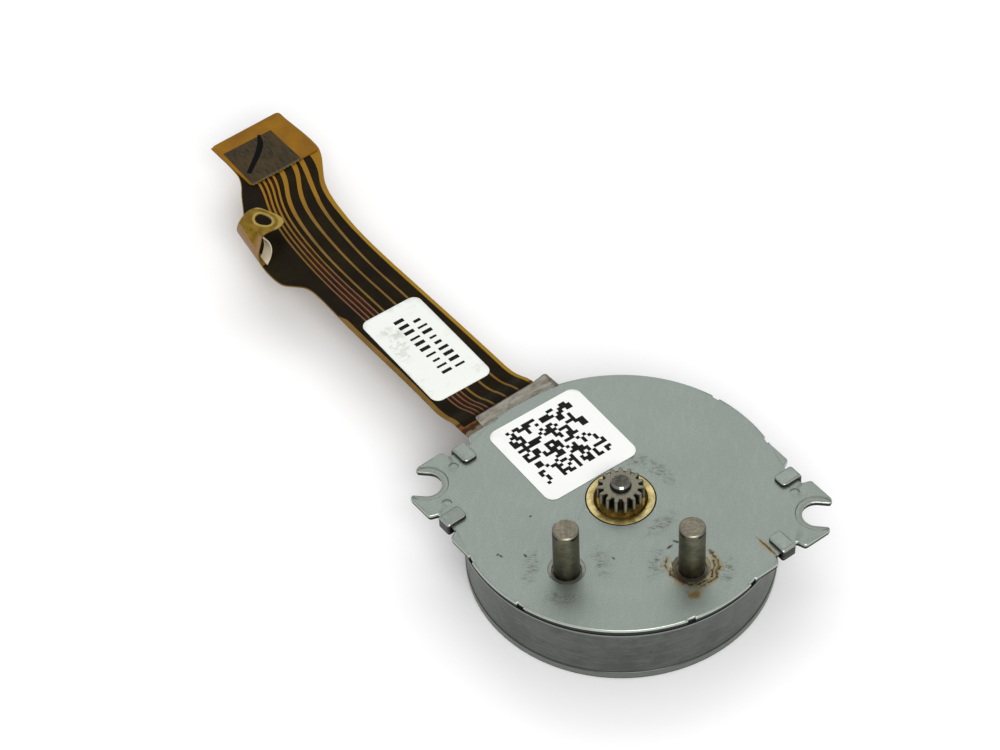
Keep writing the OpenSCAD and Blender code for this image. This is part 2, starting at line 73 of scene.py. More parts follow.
# ---------------------------------------------------------------- outlines in the plane
def arc(cx, cy, r, a0, a1, n):
    return [(cx + r * math.cos(math.radians(a0 + (a1 - a0) * i / n)),
             cy + r * math.sin(math.radians(a0 + (a1 - a0) * i / n))) for i in range(n + 1)]


def circle(cx, cy, r, n):
    return arc(cx, cy, r, 0, 360, n)[:-1]


def rounded(points, radii, n=5):
    out = []
    for i, (p, r) in enumerate(zip(points, radii)):
        a, b, c = Vector(points[i - 1]), Vector(p), Vector(points[(i + 1) % len(points)])
        if r <= 0:
            out.append(tuple(b))
            continue
        u, v = (a - b).normalized(), (c - b).normalized()
        half = math.acos(max(-1, min(1, u.dot(v)))) / 2
        m = b + (u + v).normalized() * r / math.sin(half)
        p0, p1 = b + u * r / math.tan(half) - m, b + v * r / math.tan(half) - m
        a0, a1 = math.atan2(p0.y, p0.x), math.atan2(p1.y, p1.x)
        sweep = (a1 - a0 + math.pi) % (2 * math.pi) - math.pi
        out += [(m.x + r * math.cos(a0 + sweep * k / n), m.y + r * math.sin(a0 + sweep * k / n))
                for k in range(n + 1)]
    return out


def round_rect(w, h, r, cx=0.0, cy=0.0, turn=0.0, n=6):
    pts = rounded([(-w / 2, -h / 2), (w / 2, -h / 2), (w / 2, h / 2), (-w / 2, h / 2)], [r] * 4, n)
    c, s = math.cos(math.radians(turn)), math.sin(math.radians(turn))
    return [(cx + x * c - y * s, cy + x * s + y * c) for x, y in pts]


def dense(points, step, closed=True):
    out = []
    count = len(points) if closed else len(points) - 1
    for i in range(count):
        a, b = Vector(points[i]), Vector(points[(i + 1) % len(points)])
        n = max(1, int((b - a).length / step))
        out += [tuple(a.lerp(b, k / n)) for k in range(n)]
    return out if closed else out + [tuple(points[-1])]


def soften(points, rounds=2):
    """Cuts the corners of an open chain of points, in any number of dimensions."""
    def part(a, b, k):
        return tuple(p * (1 - k) + q * k for p, q in zip(a, b))

    for _ in range(rounds):
        new = [points[0]]
        for a, b in zip(points, points[1:]):
            new += [part(a, b, 0.25), part(a, b, 0.75)]
        points = new + [points[-1]]
    return points


def clean(points, gap=1e-3):
    out = []
    for p in points:
        if not out or math.dist(p, out[-1]) > gap:
            out.append(tuple(p))
    if math.dist(out[0], out[-1]) <= gap:
        out.pop()
    return out


def area(points):
    return sum(a[0] * b[1] - b[0] * a[1] for a, b in zip(points, points[1:] + points[:1])) / 2


def inset(points, d):
    """Moves each point to the left of the walking direction, which is into the material."""
    if d == 0:
        return list(points)
    out, n = [], len(points)
    for i in range(n):
        a, b, c = Vector(points[i - 1]), Vector(points[i]), Vector(points[(i + 1) % n])
        u, v = (b - a).normalized(), (c - b).normalized()
        nu, nv = Vector((-u.y, u.x)), Vector((-v.y, v.x))
        m = nu + nv
        m = m.normalized() if m.length > 1e-6 else nu
        out.append(tuple(b + m * d / max(0.5, m.dot(nu))))
    return out


def inside(p, ring):
    x, y, hit = p[0], p[1], False
    j = len(ring) - 1
    for i in range(len(ring)):
        xi, yi = ring[i]
        xj, yj = ring[j]
        if (yi > y) != (yj > y) and x < (xj - xi) * (y - yi) / (yj - yi) + xi:
            hit = not hit
        j = i
    return hit


def fill(outer, holes, creases=(), spacing=None):
    """Triangles over the outline, with the holes left out and extra points for bends."""
    verts, edges = [], []

    def add(ring, closed=True):
        start, n = len(verts), len(ring)
        verts.extend(Vector(p) for p in ring)
        edges.extend((start + i, start + (i + 1) % n) for i in range(n if closed else n - 1))

    for ring in [outer, *holes]:
        add(ring)
    for chain in creases:
        add(chain[:-1] if chain[0] == chain[-1] else chain, chain[0] == chain[-1])
    if spacing:
        sx, sy = spacing
        xs, ys = [p[0] for p in outer], [p[1] for p in outer]
        rings = [outer, *holes, *creases]
        near = 0.35 * min(sx, sy)
        for i in range(1, int((max(xs) - min(xs)) / sx) + 1):
            for j in range(1, int((max(ys) - min(ys)) / sy) + 1):
                p = (min(xs) + i * sx, min(ys) + j * sy)
                if not inside(p, outer) or any(inside(p, h) for h in holes):
                    continue
                if all(math.dist(p, q) > near for r in rings for q in r):
                    verts.append(Vector(p))
    co, _, tris, *_ = delaunay_2d_cdt(verts, edges, [], 1, 1e-6)
    keep = []
    for t in tris:
        c = sum((co[i] for i in t), Vector((0, 0))) / 3
        if inside(c, outer) and not any(inside(c, h) for h in holes):
            keep.append(t)
    return co, keep


# ---------------------------------------------------------------- mesh makers
def link(name, data):
    obj = bpy.data.objects.new(name, data)
    bpy.context.scene.collection.objects.link(obj)
    return obj


def piece(name, mesh, slot, hides=(), angle=50, look=None, body="housing"):
    """A visible piece; its look is the slot's own material where no other is named."""
    verts, faces = mesh
    me = bpy.data.meshes.new(name)
    me.from_pydata([tuple(c * MM for c in v) for v in verts], [], faces)
    bm = bmesh.new()
    bm.from_mesh(me)
    bmesh.ops.remove_doubles(bm, verts=bm.verts, dist=2e-4 * MM)
    bmesh.ops.dissolve_degenerate(bm, edges=bm.edges, dist=1e-4 * MM)
    bmesh.ops.recalc_face_normals(bm, faces=bm.faces)
    bm.to_mesh(me)
    bm.free()
    me.shade_smooth()
    me.set_sharp_from_angle(angle=math.radians(angle))
    me.materials.append(MAT[look or slot])
    obj = link(name, me)
    even = obj.modifiers.new("even_normals", "WEIGHTED_NORMAL")
    even.keep_sharp = True
    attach(obj, body)
    if hides:
        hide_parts(*hides)


def slab(outline, holes, levels, place, creases=(), spacing=None, hole_levels=None):
    """A sheet with a shaped rim: levels are (inset, height) from the lower face to the upper."""
    outline = clean(outline)
    if area(outline) < 0:
        outline = outline[::-1]
    holes = [h if area(h) < 0 else h[::-1] for h in (clean(h) for h in holes)]
    hole_levels = hole_levels or levels
    verts, faces = [], []
    for ring, steps in [(outline, levels)] + [(h, hole_levels) for h in holes]:
        n = len(ring)
        base = len(verts)
        for d, h in steps:
            verts += [place(x, y, h) for x, y in inset(ring, d)]
        for k in range(len(steps) - 1):
            for i in range(n):
                j = (i + 1) % n
                faces.append((base + k * n + i, base + k * n + j,
                              base + (k + 1) * n + j, base + (k + 1) * n + i))
    for end, marks in ((0, ()), (-1, creases)):
        d, h = levels[end]
        co, tris = fill(inset(outline, d), [inset(r, hole_levels[end][0]) for r in holes],
                        marks, spacing)
        base = len(verts)
        verts += [place(p[0], p[1], h) for p in co]
        faces += [tuple(base + i for i in t) for t in tris]
    return verts, faces


def as_is(x, y, z):
    return (x, y, z)


def from_circuit(s, w, z):
    """The circuit's own axes (outwards, across, height) to x, y, z."""
    return ((w - s) / math.sqrt(2), (w + s) / math.sqrt(2), z)


def lathe(profile, cx=0.0, cy=0.0, n=128):
    """Closed profile of (radius, height) turned about the vertical line through (cx, cy)."""
    verts, faces, m = [], [], len(profile)
    for i in range(n):
        a = 2 * math.pi * i / n
        verts += [(cx + r * math.cos(a), cy + r * math.sin(a), z) for r, z in profile]
    for i in range(n):
        j = (i + 1) % n
        for k in range(m):
            q = (k + 1) % m
            faces.append((i * m + k, j * m + k, j * m + q, i * m + q))
    return verts, faces


def join(*parts):
    verts, faces = [], []
    for v, f in parts:
        base = len(verts)
        verts += v
        faces += [tuple(base + i for i in g) for g in f]
    return verts, faces


def loft(near_edge, far_edge, step, width, thick):
    """Thin sheet ruled between two space curves of (s, w, z); returns where a point goes."""
    a, b = soften(near_edge), soften(far_edge)
    last = len(a) - 1

    def spot(q, v):
        i = max(0, min(last - 1, int(q / step)))
        k = q / step - i
        return Vector(a[i]).lerp(Vector(a[i + 1]), k).lerp(
            Vector(b[i]).lerp(Vector(b[i + 1]), k), v / width)

    def place(q, v, h):
        e = step / 2
        n = (spot(q + e, v) - spot(q - e, v)).cross(spot(q, v + e) - spot(q, v - e)).normalized()
        s, w, z = spot(q, v) + n * (h - thick / 2)
        return from_circuit(s, w, z)

    return spot, place, last * step


# ---------------------------------------------------------------- material nodes
class Shader:
    """A small wrapper that builds a node material with coordinates in mm."""

    def __init__(self, name, **sockets):
        self.mat = bpy.data.materials.new(name)
        self.mat.use_nodes = True
        self.tree = self.mat.node_tree
        self.tree.nodes.clear()
        out = self.node("ShaderNodeOutputMaterial")
        self.bsdf = self.node("ShaderNodeBsdfPrincipled")
        self.tree.links.new(self.bsdf.outputs[0], out.inputs[0])
        tc = self.node("ShaderNodeTexCoord")
        self.mm = self.vec("SCALE", tc.outputs["Object"], scale=1 / MM)
        for key, value in sockets.items():
            self.set(key.replace("_", " "), value)

    def node(self, kind):
        return self.tree.nodes.new(kind)

    def put(self, socket, value):
        if isinstance(value, bpy.types.NodeSocket):
            self.tree.links.new(value, socket)
        else:
            socket.default_value = value

    def set(self, key, value):
        if isinstance(value, tuple) and len(value) == 3:
            value = (*value, 1.0)
        self.put(self.bsdf.inputs[key], value)
        return self

    def vec(self, op, a, b=None, scale=None):
        n = self.node("ShaderNodeVectorMath")
        n.operation = op
        self.put(n.inputs[0], a)
        if b is not None:
            self.put(n.inputs[1], b)
        if scale is not None:
            n.inputs["Scale"].default_value = scale
        return n.outputs["Value"] if op in ("LENGTH", "DISTANCE", "DOT_PRODUCT") else n.outputs[0]

    def math(self, op, a, b=0.0, clamp=False):
        n = self.node("ShaderNodeMath")
        n.operation = op
        n.use_clamp = clamp
        self.put(n.inputs[0], a)
        self.put(n.inputs[1], b)
        return n.outputs[0]

    def times(self, a, b):
        return self.math("MULTIPLY", a, b)

    def plus(self, a, b):
        return self.math("ADD", a, b)

    def minus(self, a, b):
        return self.math("SUBTRACT", a, b)

    def size(self, a):
        return self.math("ABSOLUTE", a)

    def xyz(self, v=None):
        n = self.node("ShaderNodeSeparateXYZ")
        self.put(n.inputs[0], v if v is not None else self.mm)
        return n.outputs[0], n.outputs[1], n.outputs[2]

    def combine(self, *values):
        n = self.node("ShaderNodeCombineXYZ")
        for socket, value in zip(n.inputs, values):
            self.put(socket, value)
        return n.outputs[0]

    def along(self):
        """Place on the circuit: distance outwards, distance across it, and height."""
        x, y, z = self.xyz()
        return self.times(self.minus(y, x), ROOT2), self.times(self.plus(x, y), ROOT2), z

    def up(self):
        """How far the surface faces upwards: 1 on a flat top, 0 on a wall."""
        return self.xyz(self.node("ShaderNodeNewGeometry").outputs["Normal"])[2]

    def flat(self, at=(0, 0, 0)):
        """Distance in plan from a point."""
        return self.vec("DISTANCE", self.vec("MULTIPLY", self.mm, (1, 1, 0)), at)

    def noise(self, scale, detail=4.0, rough=0.5, stretch=None, twist=0.0, v=None):
        v = v if v is not None else self.mm
        if stretch:
            v = self.vec("MULTIPLY", v, stretch)
        n = self.node("ShaderNodeTexNoise")
        self.put(n.inputs["Vector"], v)
        n.inputs["Scale"].default_value = scale
        n.inputs["Detail"].default_value = detail
        n.inputs["Roughness"].default_value = rough
        n.inputs["Distortion"].default_value = twist
        return n.outputs[0]

    def node_colour(self, scale):
        """Three independent noises, as a vector."""
        n = self.node("ShaderNodeTexNoise")
        self.put(n.inputs["Vector"], self.mm)
        n.inputs["Scale"].default_value = scale
        return n.outputs["Color"]

    def cells(self, scale):
        n = self.node("ShaderNodeTexVoronoi")
        self.put(n.inputs["Vector"], self.mm)
        n.inputs["Scale"].default_value = scale
        return n.outputs["Distance"]

    def range(self, x, a, b, c=0.0, d=1.0, smooth=True):
        n = self.node("ShaderNodeMapRange")
        n.interpolation_type = "SMOOTHSTEP" if smooth else "LINEAR"
        self.put(n.inputs["Value"], x)
        for key, value in (("From Min", a), ("From Max", b), ("To Min", c), ("To Max", d)):
            n.inputs[key].default_value = value
        return n.outputs[0]

    def between(self, x, a, b, c, d):
        """Mask that rises from a to b and falls again on the way from d to c."""
        return self.times(self.range(x, a, b), self.range(x, c, d))

    def mix(self, fac, a, b):
        n = self.node("ShaderNodeMix")
        n.data_type = "RGBA"
        self.put(n.inputs[0], fac)
        for socket, value in ((n.inputs[6], a), (n.inputs[7], b)):
            if isinstance(value, tuple) and len(value) == 3:
                value = (*value, 1.0)
            self.put(socket, value)
        return n.outputs[2]

    def bump(self, height, depth, strength=1.0):
        n = self.node("ShaderNodeBump")
        n.inputs["Strength"].default_value = strength
        n.inputs["Distance"].default_value = depth * MM
        self.put(n.inputs["Height"], height)
        self.put(self.bsdf.inputs["Normal"], n.outputs[0])
        return self

    def done(self, colour, rough, height, depth, strength):
        self.set("Base Color", colour)
        self.set("Roughness", rough)
        self.bump(height, depth, strength)
        return self.mat

    def over(self, colour, mask, tint, strength):
        """Lays a tint over a colour where the mask is, at the given strength."""
        return self.mix(self.times(mask, strength), colour, tint)

    def specks(self, scale, size, share):
        """Small scattered spots: cell centres, thinned out by a coarse noise."""
        spot = self.range(self.cells(scale), size * 0.6, size, 1.0, 0.0)
        some = self.range(self.noise(scale * 0.23, 1.0), 1.0 - share, 1.02 - share, 0.0, 1.0)
        return self.times(spot, some)


def srgb(r, g, b):
    def one(c):
        c /= 255
        return c / 12.92 if c <= 0.04045 else ((c + 0.055) / 1.055) ** 2.4
    return (one(r), one(g), one(b))


def blotch(s, cx, cy, r, long=1.0, turn=0.0, soft=0.5, warp=0.3, scale=1.2):
    """Mask of an uneven mark in plan, drawn out along one direction."""
    m = s.node("ShaderNodeMapping")
    m.vector_type = "TEXTURE"
    s.put(m.inputs["Vector"], s.mm)
    m.inputs["Location"].default_value = (cx, cy, 0)
    m.inputs["Rotation"].default_value = (0, 0, math.radians(turn))
    m.inputs["Scale"].default_value = (long, 1, 1)
    d = s.vec("LENGTH", s.vec("MULTIPLY", m.outputs[0], (1, 1, 0)))
    if warp:
        d = s.plus(d, s.range(s.noise(scale, 4.0, 0.6), 0.2, 0.8, -warp, warp, False))
    return s.range(d, r + soft / 2, r - soft / 2)


def most(s, masks):
    out = masks[0]
    for m in masks[1:]:
        out = s.math("MAXIMUM", out, m)
    return out


def stroke(s, points, at):
    """Distance in plan from a chain of points."""
    near = None
    for a, b in zip(points, points[1:]):
        run = Vector((b[0] - a[0], b[1] - a[1], 0))
        rel = s.vec("SUBTRACT", at, (*a, 0))
        share = s.math("MULTIPLY", s.vec("DOT_PRODUCT", rel, tuple(run)),
                       1 / run.length_squared, clamp=True)
        foot = s.vec("MULTIPLY", s.combine(share, share, share), tuple(run))
        one = s.vec("DISTANCE", rel, foot)
        near = one if near is None else s.math("MINIMUM", near, one)
    return near


def around(centre, turn, distance):
    """Place at a direction and a distance from a centre."""
    a = math.radians(turn)
    return centre[0] + distance * math.cos(a), centre[1] + distance * math.sin(a)


# rubbed marks round the pinion and the posts: centre, distance, directions
RUBS = [((0, 0), 6, (45, -35, 80)), (POSTS["left"], 4, (180, 20, -90)),
        (POSTS["right"], 4, (0, 180))]
# dried grease round the right post: direction, distance and radius of each pale film,
# then radius, two directions and half width of each brown ridge, an arc round the post
GREASE = [(15, 2, 1.5), (-35, 2, 1.3), (190, 2, 1), (-80, 3.5, 1), (-120, 2.5, 0.8)]
RIDGES = [(3, 50, -65, 0.12), (2.5, 25, -30, 0.08), (2.5, -160, -45, 0.09), (3, 160, 190, 0.08)]
SPECK_COUNT = 11


def zinc():
    s = Shader("zinc_plate", Metallic=0.85)
    broad = s.noise(0.12, 3.0, 0.5)
    fine = s.noise(7.0, 4.0, 0.7)
    drawn = s.noise(1.6, 4.0, 0.6, stretch=(1.0, 0.25, 1.0))
    col = s.mix(broad, srgb(120, 128, 122), srgb(132, 141, 135))
    col = s.mix(s.range(fine, 0.35, 0.65, 0.0, 0.55), col, srgb(104, 111, 105))
    col = s.mix(s.range(drawn, 0.45, 0.75, 0.0, 0.18), col, srgb(142, 151, 145))
    rough = s.range(fine, 0.3, 0.7, 0.40, 0.52)
    # greyish rubbed marks round the pinion and the posts
    patchy = s.range(s.noise(1.3, 5.0, 0.7), 0.36, 0.62)
    scratch = s.range(s.noise(2.2, 5.0, 0.75, stretch=(0.5, 3.0, 1)), 0.44, 0.57)
    rubs = most(s, [blotch(s, *around(centre, turn, far), 0.8, 2.4, turn - 90, 1.0, 0.5)
                    for centre, far, turns in RUBS for turn in turns])
    marks = s.times(rubs, s.times(patchy, scratch))
    col = s.over(col, marks, srgb(72, 69, 55), 0.75)
    wavy = s.vec("SUBTRACT", s.mm, s.vec("SCALE", s.node_colour(1.1), scale=0.9))
    wavy = s.vec("MULTIPLY", s.vec("ADD", wavy, (0.45, 0.45, 0)), (1, 1, 0))
    post = POSTS["right"]
    film = most(s, [blotch(s, *around(post, turn, far), r, 1.0, 0, 0.5, 0.4)
                    for turn, far, r in GREASE])
    smear = s.mix(s.range(s.noise(1.8, 4.0, 0.7), 0.45, 0.6), srgb(140, 134, 106),
                  srgb(106, 94, 58))
    col = s.mix(s.times(film, s.range(patchy, 0.0, 1.0, 0.25, 0.65)), col, smear)
    for far, start, end, half in RIDGES:
        steps = 2 + abs(end - start) // 30
        route = [around(post, start + (end - start) * k / steps, far) for k in range(steps + 1)]
        d = s.plus(stroke(s, route, wavy), s.range(s.noise(2.4, 4.0, 0.7), 0.25, 0.75,
                                                          -0.18, 0.18, False))
        halo = s.times(s.range(d, half + 0.5, half), 0.55)
        col = s.mix(halo, col, srgb(112, 98, 60))
        ridge = s.times(s.range(d, half + 0.08, half - 0.06),
                       s.range(s.noise(1.6, 4.0, 0.7), 0.3, 0.6, 0.4, 1.0))
        col = s.mix(ridge, col, srgb(44, 32, 12))
    drop = s.times(blotch(s, *around(post, -80, 4), 0.5, 1.5, 30, 0.5, 0.3), 0.8)
    col = s.mix(drop, col, srgb(108, 84, 34))
    # coined rings at the posts' feet, with a thin dark outline
    for side, tint, strength in (("left", srgb(130, 128, 104), 0.2),
                                 ("right", srgb(112, 94, 62), 0.7)):
        ring = s.flat((*POSTS[side], 0))
        col = s.mix(s.times(s.range(ring, 2.16, 2.05), strength), col, tint)
        line = s.between(ring, 2.02, 2.08, 2.2, 2.12)
        col = s.over(col, line, srgb(74, 70, 46), 0.6)
    foot = blotch(s, post[0] - 0.3, post[1] - 0.35, 2.0, soft=0.6, warp=0.5, scale=1.6)
    col = s.over(col, foot, srgb(58, 38, 12), 0.92)
    # yellow stain beside the lower right tab
    stain = blotch(s, 17, -5.5, 0.5, 3.0, -45, 0.5, 0.3)
    col = s.over(col, stain, srgb(132, 118, 66), 0.4)
    line = blotch(s, 17, -5.5, 0.14, 11.0, -45, 0.16, 0.08, 2.0)
    col = s.over(col, line, srgb(58, 44, 18), 0.85)
    # painted shade: dark lines along the coined rims of the notches and on the far slopes of the
    # dimples
    edge = None
    for side in (1, -1):
        one = s.flat((side * NOTCH_X, 0, 0))
        line = s.between(one, COIN_R - 0.02, COIN_R + 0.03, COIN_R + 0.16, COIN_R + 0.08)
        edge = line if edge is None else s.math("MAXIMUM", edge, line)
        col = s.over(col, s.range(one, COIN_R + 0.02, COIN_R - 0.05), srgb(128, 126, 116), 0.18)
    for dx, dy in DIMPLES:
        ring = s.flat((dx, dy, 0))
        dimple_shade_ring = s.between(ring, DIMPLE_R - 0.2, DIMPLE_R - 0.06, DIMPLE_R + 0.12, DIMPLE_R)
        far = s.range(s.minus(s.flat((dx, dy - 1, 0)), s.flat((dx, dy + 1, 0))),
                      -0.2, 0.5)
        edge = s.math("MAXIMUM", edge, s.times(dimple_shade_ring, far))
    col = s.over(col, edge, srgb(46, 48, 44), 0.75)
    spots = s.times(s.specks(0.7, 0.08, 0.40), 0.5)
    rng = random.Random(SEED)
    dots = []
    for _ in range(SPECK_COUNT):
        x, y = around((0, 0), rng.uniform(200, 345), rng.uniform(7, 16.5))
        dots.append(blotch(s, x, y, rng.uniform(0.09, 0.16), rng.uniform(1.3, 2.6),
                           rng.uniform(-90, 90), 0.12, 0.06, 3.0))
    dots = most(s, dots)
    col = s.over(col, s.math("MAXIMUM", spots, dots), srgb(36, 35, 27), 0.85)
    # painted highlight on the rolled upper edge; the lower half of the cut edge is dull sheared
    # metal, darkened nearly to black by painted shade
    x, y, z = s.xyz()
    up = s.up()
    rolled_edge_highlight = s.times(s.range(up, 0.985, 0.9), s.range(z, 9.6, 9.75))
    col = s.over(col, rolled_edge_highlight, srgb(182, 189, 178), 0.8)
    wall = s.range(up, 0.5, 0.2)
    shear_and_shade = s.times(wall, s.range(z, 9.74, 9.64))
    col = s.over(col, shear_and_shade, srgb(20, 20, 19), 0.92)
    # painted shade on the walls of the notches
    notch = s.times(wall, s.range(s.size(y), 1.75, 1.65))
    notch = s.times(notch, s.range(s.size(x), 20.3, 20.45))
    col = s.mix(s.times(notch, s.range(s.noise(2.5, 4.0), 0.35, 0.6, 0.45, 1.0)), col,
                srgb(30, 29, 27))
    return s.done(col, s.minus(s.plus(rough, s.times(marks, 0.1)), s.times(rolled_edge_highlight, 0.14)),
                  s.plus(fine, s.times(drawn, 0.6)), 0.010, 0.6)


def steel(name, base, dark, rough=0.35, stretch=(0.25, 0.25, 8.0), metallic=0.9):
    """Turned or drawn steel: fine lines, broad tone changes and a few specks."""
    s = Shader(name, Metallic=metallic)
    lines = s.noise(1.2, 5.0, 0.7, stretch=stretch)
    broad = s.noise(0.35, 3.0, 0.5)
    col = s.mix(s.range(lines, 0.35, 0.68), dark, base)
    col = s.mix(s.range(broad, 0.4, 0.7, 0.0, 0.35), col, dark)
    col = s.over(col, s.specks(0.8, 0.1, 0.4), tuple(c * 0.35 for c in dark), 0.6)
    return s.done(col, s.range(lines, 0.3, 0.7, rough - 0.06, rough + 0.1), lines, 0.004, 0.7)


def plastic(name, base, dark, rough=0.5, scale=3.0, **sockets):
    s = Shader(name, **sockets)
    grain = s.noise(scale, 4.0, 0.6)
    broad = s.noise(scale * 0.15, 2.0)
    col = s.mix(s.range(broad, 0.3, 0.7), base, dark)
    col = s.mix(s.range(grain, 0.45, 0.75, 0.0, 0.3), col, dark)
    return s.done(col, s.range(grain, 0.3, 0.7, rough - 0.05, rough + 0.08), grain, 0.004, 0.5)


def can_steel():
    s = Shader("can_steel", Metallic=0.85)
    z = s.xyz()[2]
    lines = s.noise(1.1, 6.0, 0.75, stretch=(0.08, 0.08, 6.0))
    rings = s.noise(2.5, 2.0, 0.5, stretch=(0.02, 0.02, 2.0))
    broad = s.noise(0.22, 4.0, 0.6)
    cloud = s.noise(1.6, 5.0, 0.7, stretch=(0.6, 0.6, 1.2))
    col = s.mix(s.range(lines, 0.32, 0.66), srgb(79, 82, 79), srgb(98, 101, 97))
    col = s.mix(s.range(cloud, 0.4, 0.6, 0.0, 0.75), col, srgb(98, 103, 98))
    col = s.mix(s.range(rings, 0.4, 0.65, 0.0, 0.35), col, srgb(80, 83, 80))
    col = s.mix(s.range(broad, 0.4, 0.65, 0.0, 0.5), col, srgb(68, 70, 67))
    streak = s.noise(1.2, 4.0, 0.6, stretch=(0.3, 0.3, 3.4))
    col = s.mix(s.range(streak, 0.52, 0.66, 0.0, 0.4), col, srgb(112, 117, 112))
    band = s.mix(cloud, srgb(108, 112, 106), srgb(124, 129, 122))
    col = s.over(col, s.range(z, BAND_H + 0.04, BAND_H - 0.02), band, 0.9)
    # painted shade: a dark line on the ledge above the band
    band_ledge_shade = s.times(s.range(z, BAND_H - 0.08, BAND_H), s.range(z, BAND_H + 0.3,
                                                                          BAND_H + 0.2))
    col = s.over(col, band_ledge_shade, srgb(70, 72, 69), 0.8)
    # painted shade: nearly black at the foot, where the can meets the floor
    col = s.mix(s.range(z, 0.30, 0.16), col, srgb(24, 24, 24))
    col = s.over(col, s.specks(0.7, 0.09, 0.4), srgb(38, 37, 35), 0.6)
    # the flange and the tabs keep the bright zinc of the plate, with a painted highlight on their
    # rounded edges; painted shade darkens the tabs' flanks
    up = s.up()
    bright = s.mix(s.noise(2.0, 4.0), srgb(104, 110, 104), srgb(132, 140, 133))
    rolled_edge_highlight = s.between(up, 0.97, 0.85, 0.25, 0.5)
    bright = s.over(bright, rolled_edge_highlight, srgb(196, 200, 194), 0.7)
    side = s.times(s.range(up, 0.4, 0.15), s.range(z, 9.22, 9.3))
    bright = s.mix(side, bright, s.mix(s.noise(1.5, 4.0), srgb(30, 31, 29), srgb(66, 68, 63)))
    col = s.mix(s.range(z, 8.58, 8.68), col, bright)
    lip = s.between(z, 8.66, 8.74, 9.0, 8.92)
    col = s.mix(lip, col, srgb(124, 130, 125))
    # painted shade in the gap under the plate's rim
    gap = s.between(z, 8.91, 8.97, 9.24, 9.2)
    col = s.mix(gap, col, srgb(20, 20, 19))
    rough = s.range(lines, 0.3, 0.7, 0.36, 0.52)
    return s.done(col, s.minus(rough, s.times(rolled_edge_highlight, 0.18)),
                  s.plus(s.plus(lines, cloud), rings), 0.005, 0.7)


def brass(name="bearing_brass"):
    s = Shader(name, Metallic=0.9)
    d = s.flat()
    tone = s.noise(0.9, 4.0, 0.6)
    turned = s.noise(3.0, 3.0, 0.6, v=d)
    col = s.mix(s.range(tone, 0.35, 0.65), srgb(152, 137, 84), srgb(122, 105, 58))
    col = s.mix(s.range(turned, 0.4, 0.7, 0.0, 0.3), col, srgb(186, 172, 118))
    x = s.xyz()[0]
    # painted highlight on the left and right of the holder's rim
    side_highlight = s.times(s.range(s.size(x), 1.6, 3.6), s.range(d, 3.0, 3.4))
    col = s.over(col, side_highlight, srgb(186, 176, 134), 0.4)
    grain = s.noise(6.0, 3.0, 0.7)
    col = s.mix(s.range(grain, 0.4, 0.7, 0.0, 0.4), col, srgb(92, 78, 42))
    groove = s.between(d, WELL_R + 0.08, WELL_R - 0.04, 2.4, 2.5)
    oil = s.times(groove, s.range(s.noise(0.9, 4.0, 0.7), 0.25, 0.6, 0.7, 1.0))
    col = s.mix(oil, col, s.mix(tone, srgb(180, 156, 84), srgb(128, 104, 46)))
    stain = s.times(s.range(s.noise(0.7, 5.0, 0.7), 0.46, 0.6),
                   s.range(d, 3.9, 3.1, 0.2, 1.0))
    col = s.over(col, stain, srgb(84, 66, 26), 0.7)
    col = s.over(col, s.range(d, HOLDER_R - 0.1, HOLDER_R), srgb(30, 24, 14), 0.8)
    return s.done(col, s.range(tone, 0.3, 0.7, 0.26, 0.42),
                  s.plus(tone, s.times(grain, 0.5)), 0.008, 0.5)


def bush_bronze():
    """Oil-soaked sintered bush: a wet-looking, mottled brown bronze."""
    s = Shader("sintered_bronze", Metallic=0.6)
    tone = s.noise(1.4, 4.0, 0.65)
    grain = s.noise(8.0, 3.0, 0.7)
    col = s.mix(s.range(tone, 0.35, 0.65), srgb(158, 132, 62), srgb(98, 76, 32))
    col = s.mix(s.range(grain, 0.45, 0.7, 0.0, 0.5), col, srgb(104, 84, 44))
    return s.done(col, s.range(tone, 0.3, 0.7, 0.16, 0.34), s.plus(tone, grain), 0.006, 0.5)


def post_steel():
    s = Shader("post_steel", Metallic=0.85)
    x, _, z = s.xyz()
    lines = s.noise(1.5, 5.0, 0.7, stretch=(0.6, 0.6, 4.0))
    cloud = s.noise(0.9, 4.0, 0.6)
    col = s.mix(s.range(lines, 0.3, 0.7), srgb(92, 90, 74), srgb(122, 119, 100))
    col = s.mix(s.range(cloud, 0.4, 0.7, 0.0, 0.5), col, srgb(72, 69, 58))
    grease = s.times(s.range(z, 13.4, 10.2),
                    s.range(s.noise(0.7, 4.0, 0.7, stretch=(1, 1, 0.5)), 0.3, 0.62, 0.4, 1.0))
    col = s.over(col, grease, srgb(46, 38, 26), 0.85)
    scratches = s.noise(2.6, 5.0, 0.75, stretch=(0.7, 1.8, 1))
    turned = s.noise(2.2, 3.0, 0.6, v=s.flat((*POSTS["right"], 0)))
    face = s.mix(s.range(scratches, 0.38, 0.62), srgb(106, 102, 88), srgb(86, 82, 70))
    face = s.mix(s.range(turned, 0.42, 0.6, 0.0, 0.5), face, srgb(78, 73, 62))
    col = s.mix(s.range(z, 16.9, 16.97), col, face)
    # painted highlight along the top edge
    edge = s.times(s.range(z, 16.78, 16.84), s.range(s.up(), 0.96, 0.9))
    col = s.over(col, edge, srgb(150, 144, 130), 0.5)
    # painted shade: a dark band under the top edge, on the posts' left and right
    for px, py in POSTS.values():
        side = s.range(s.size(s.minus(x, px)), POST_R - 0.9, POST_R - 0.6)
        side = s.times(side, s.range(s.flat((px, py, 0)), 2.0, 1.9))
        side_shade_band = s.between(z, 16.35, 16.5, 16.86, 16.78)
        col = s.mix(s.times(s.times(side, side_shade_band), s.range(
            s.noise(1.2, 4.0), 0.3, 0.6, 0.6, 1.0)), col, srgb(26, 22, 17))
    return s.done(col, s.range(lines, 0.3, 0.7, 0.3, 0.44),
                  s.plus(lines, s.times(scratches, 0.4)), 0.004, 0.6)


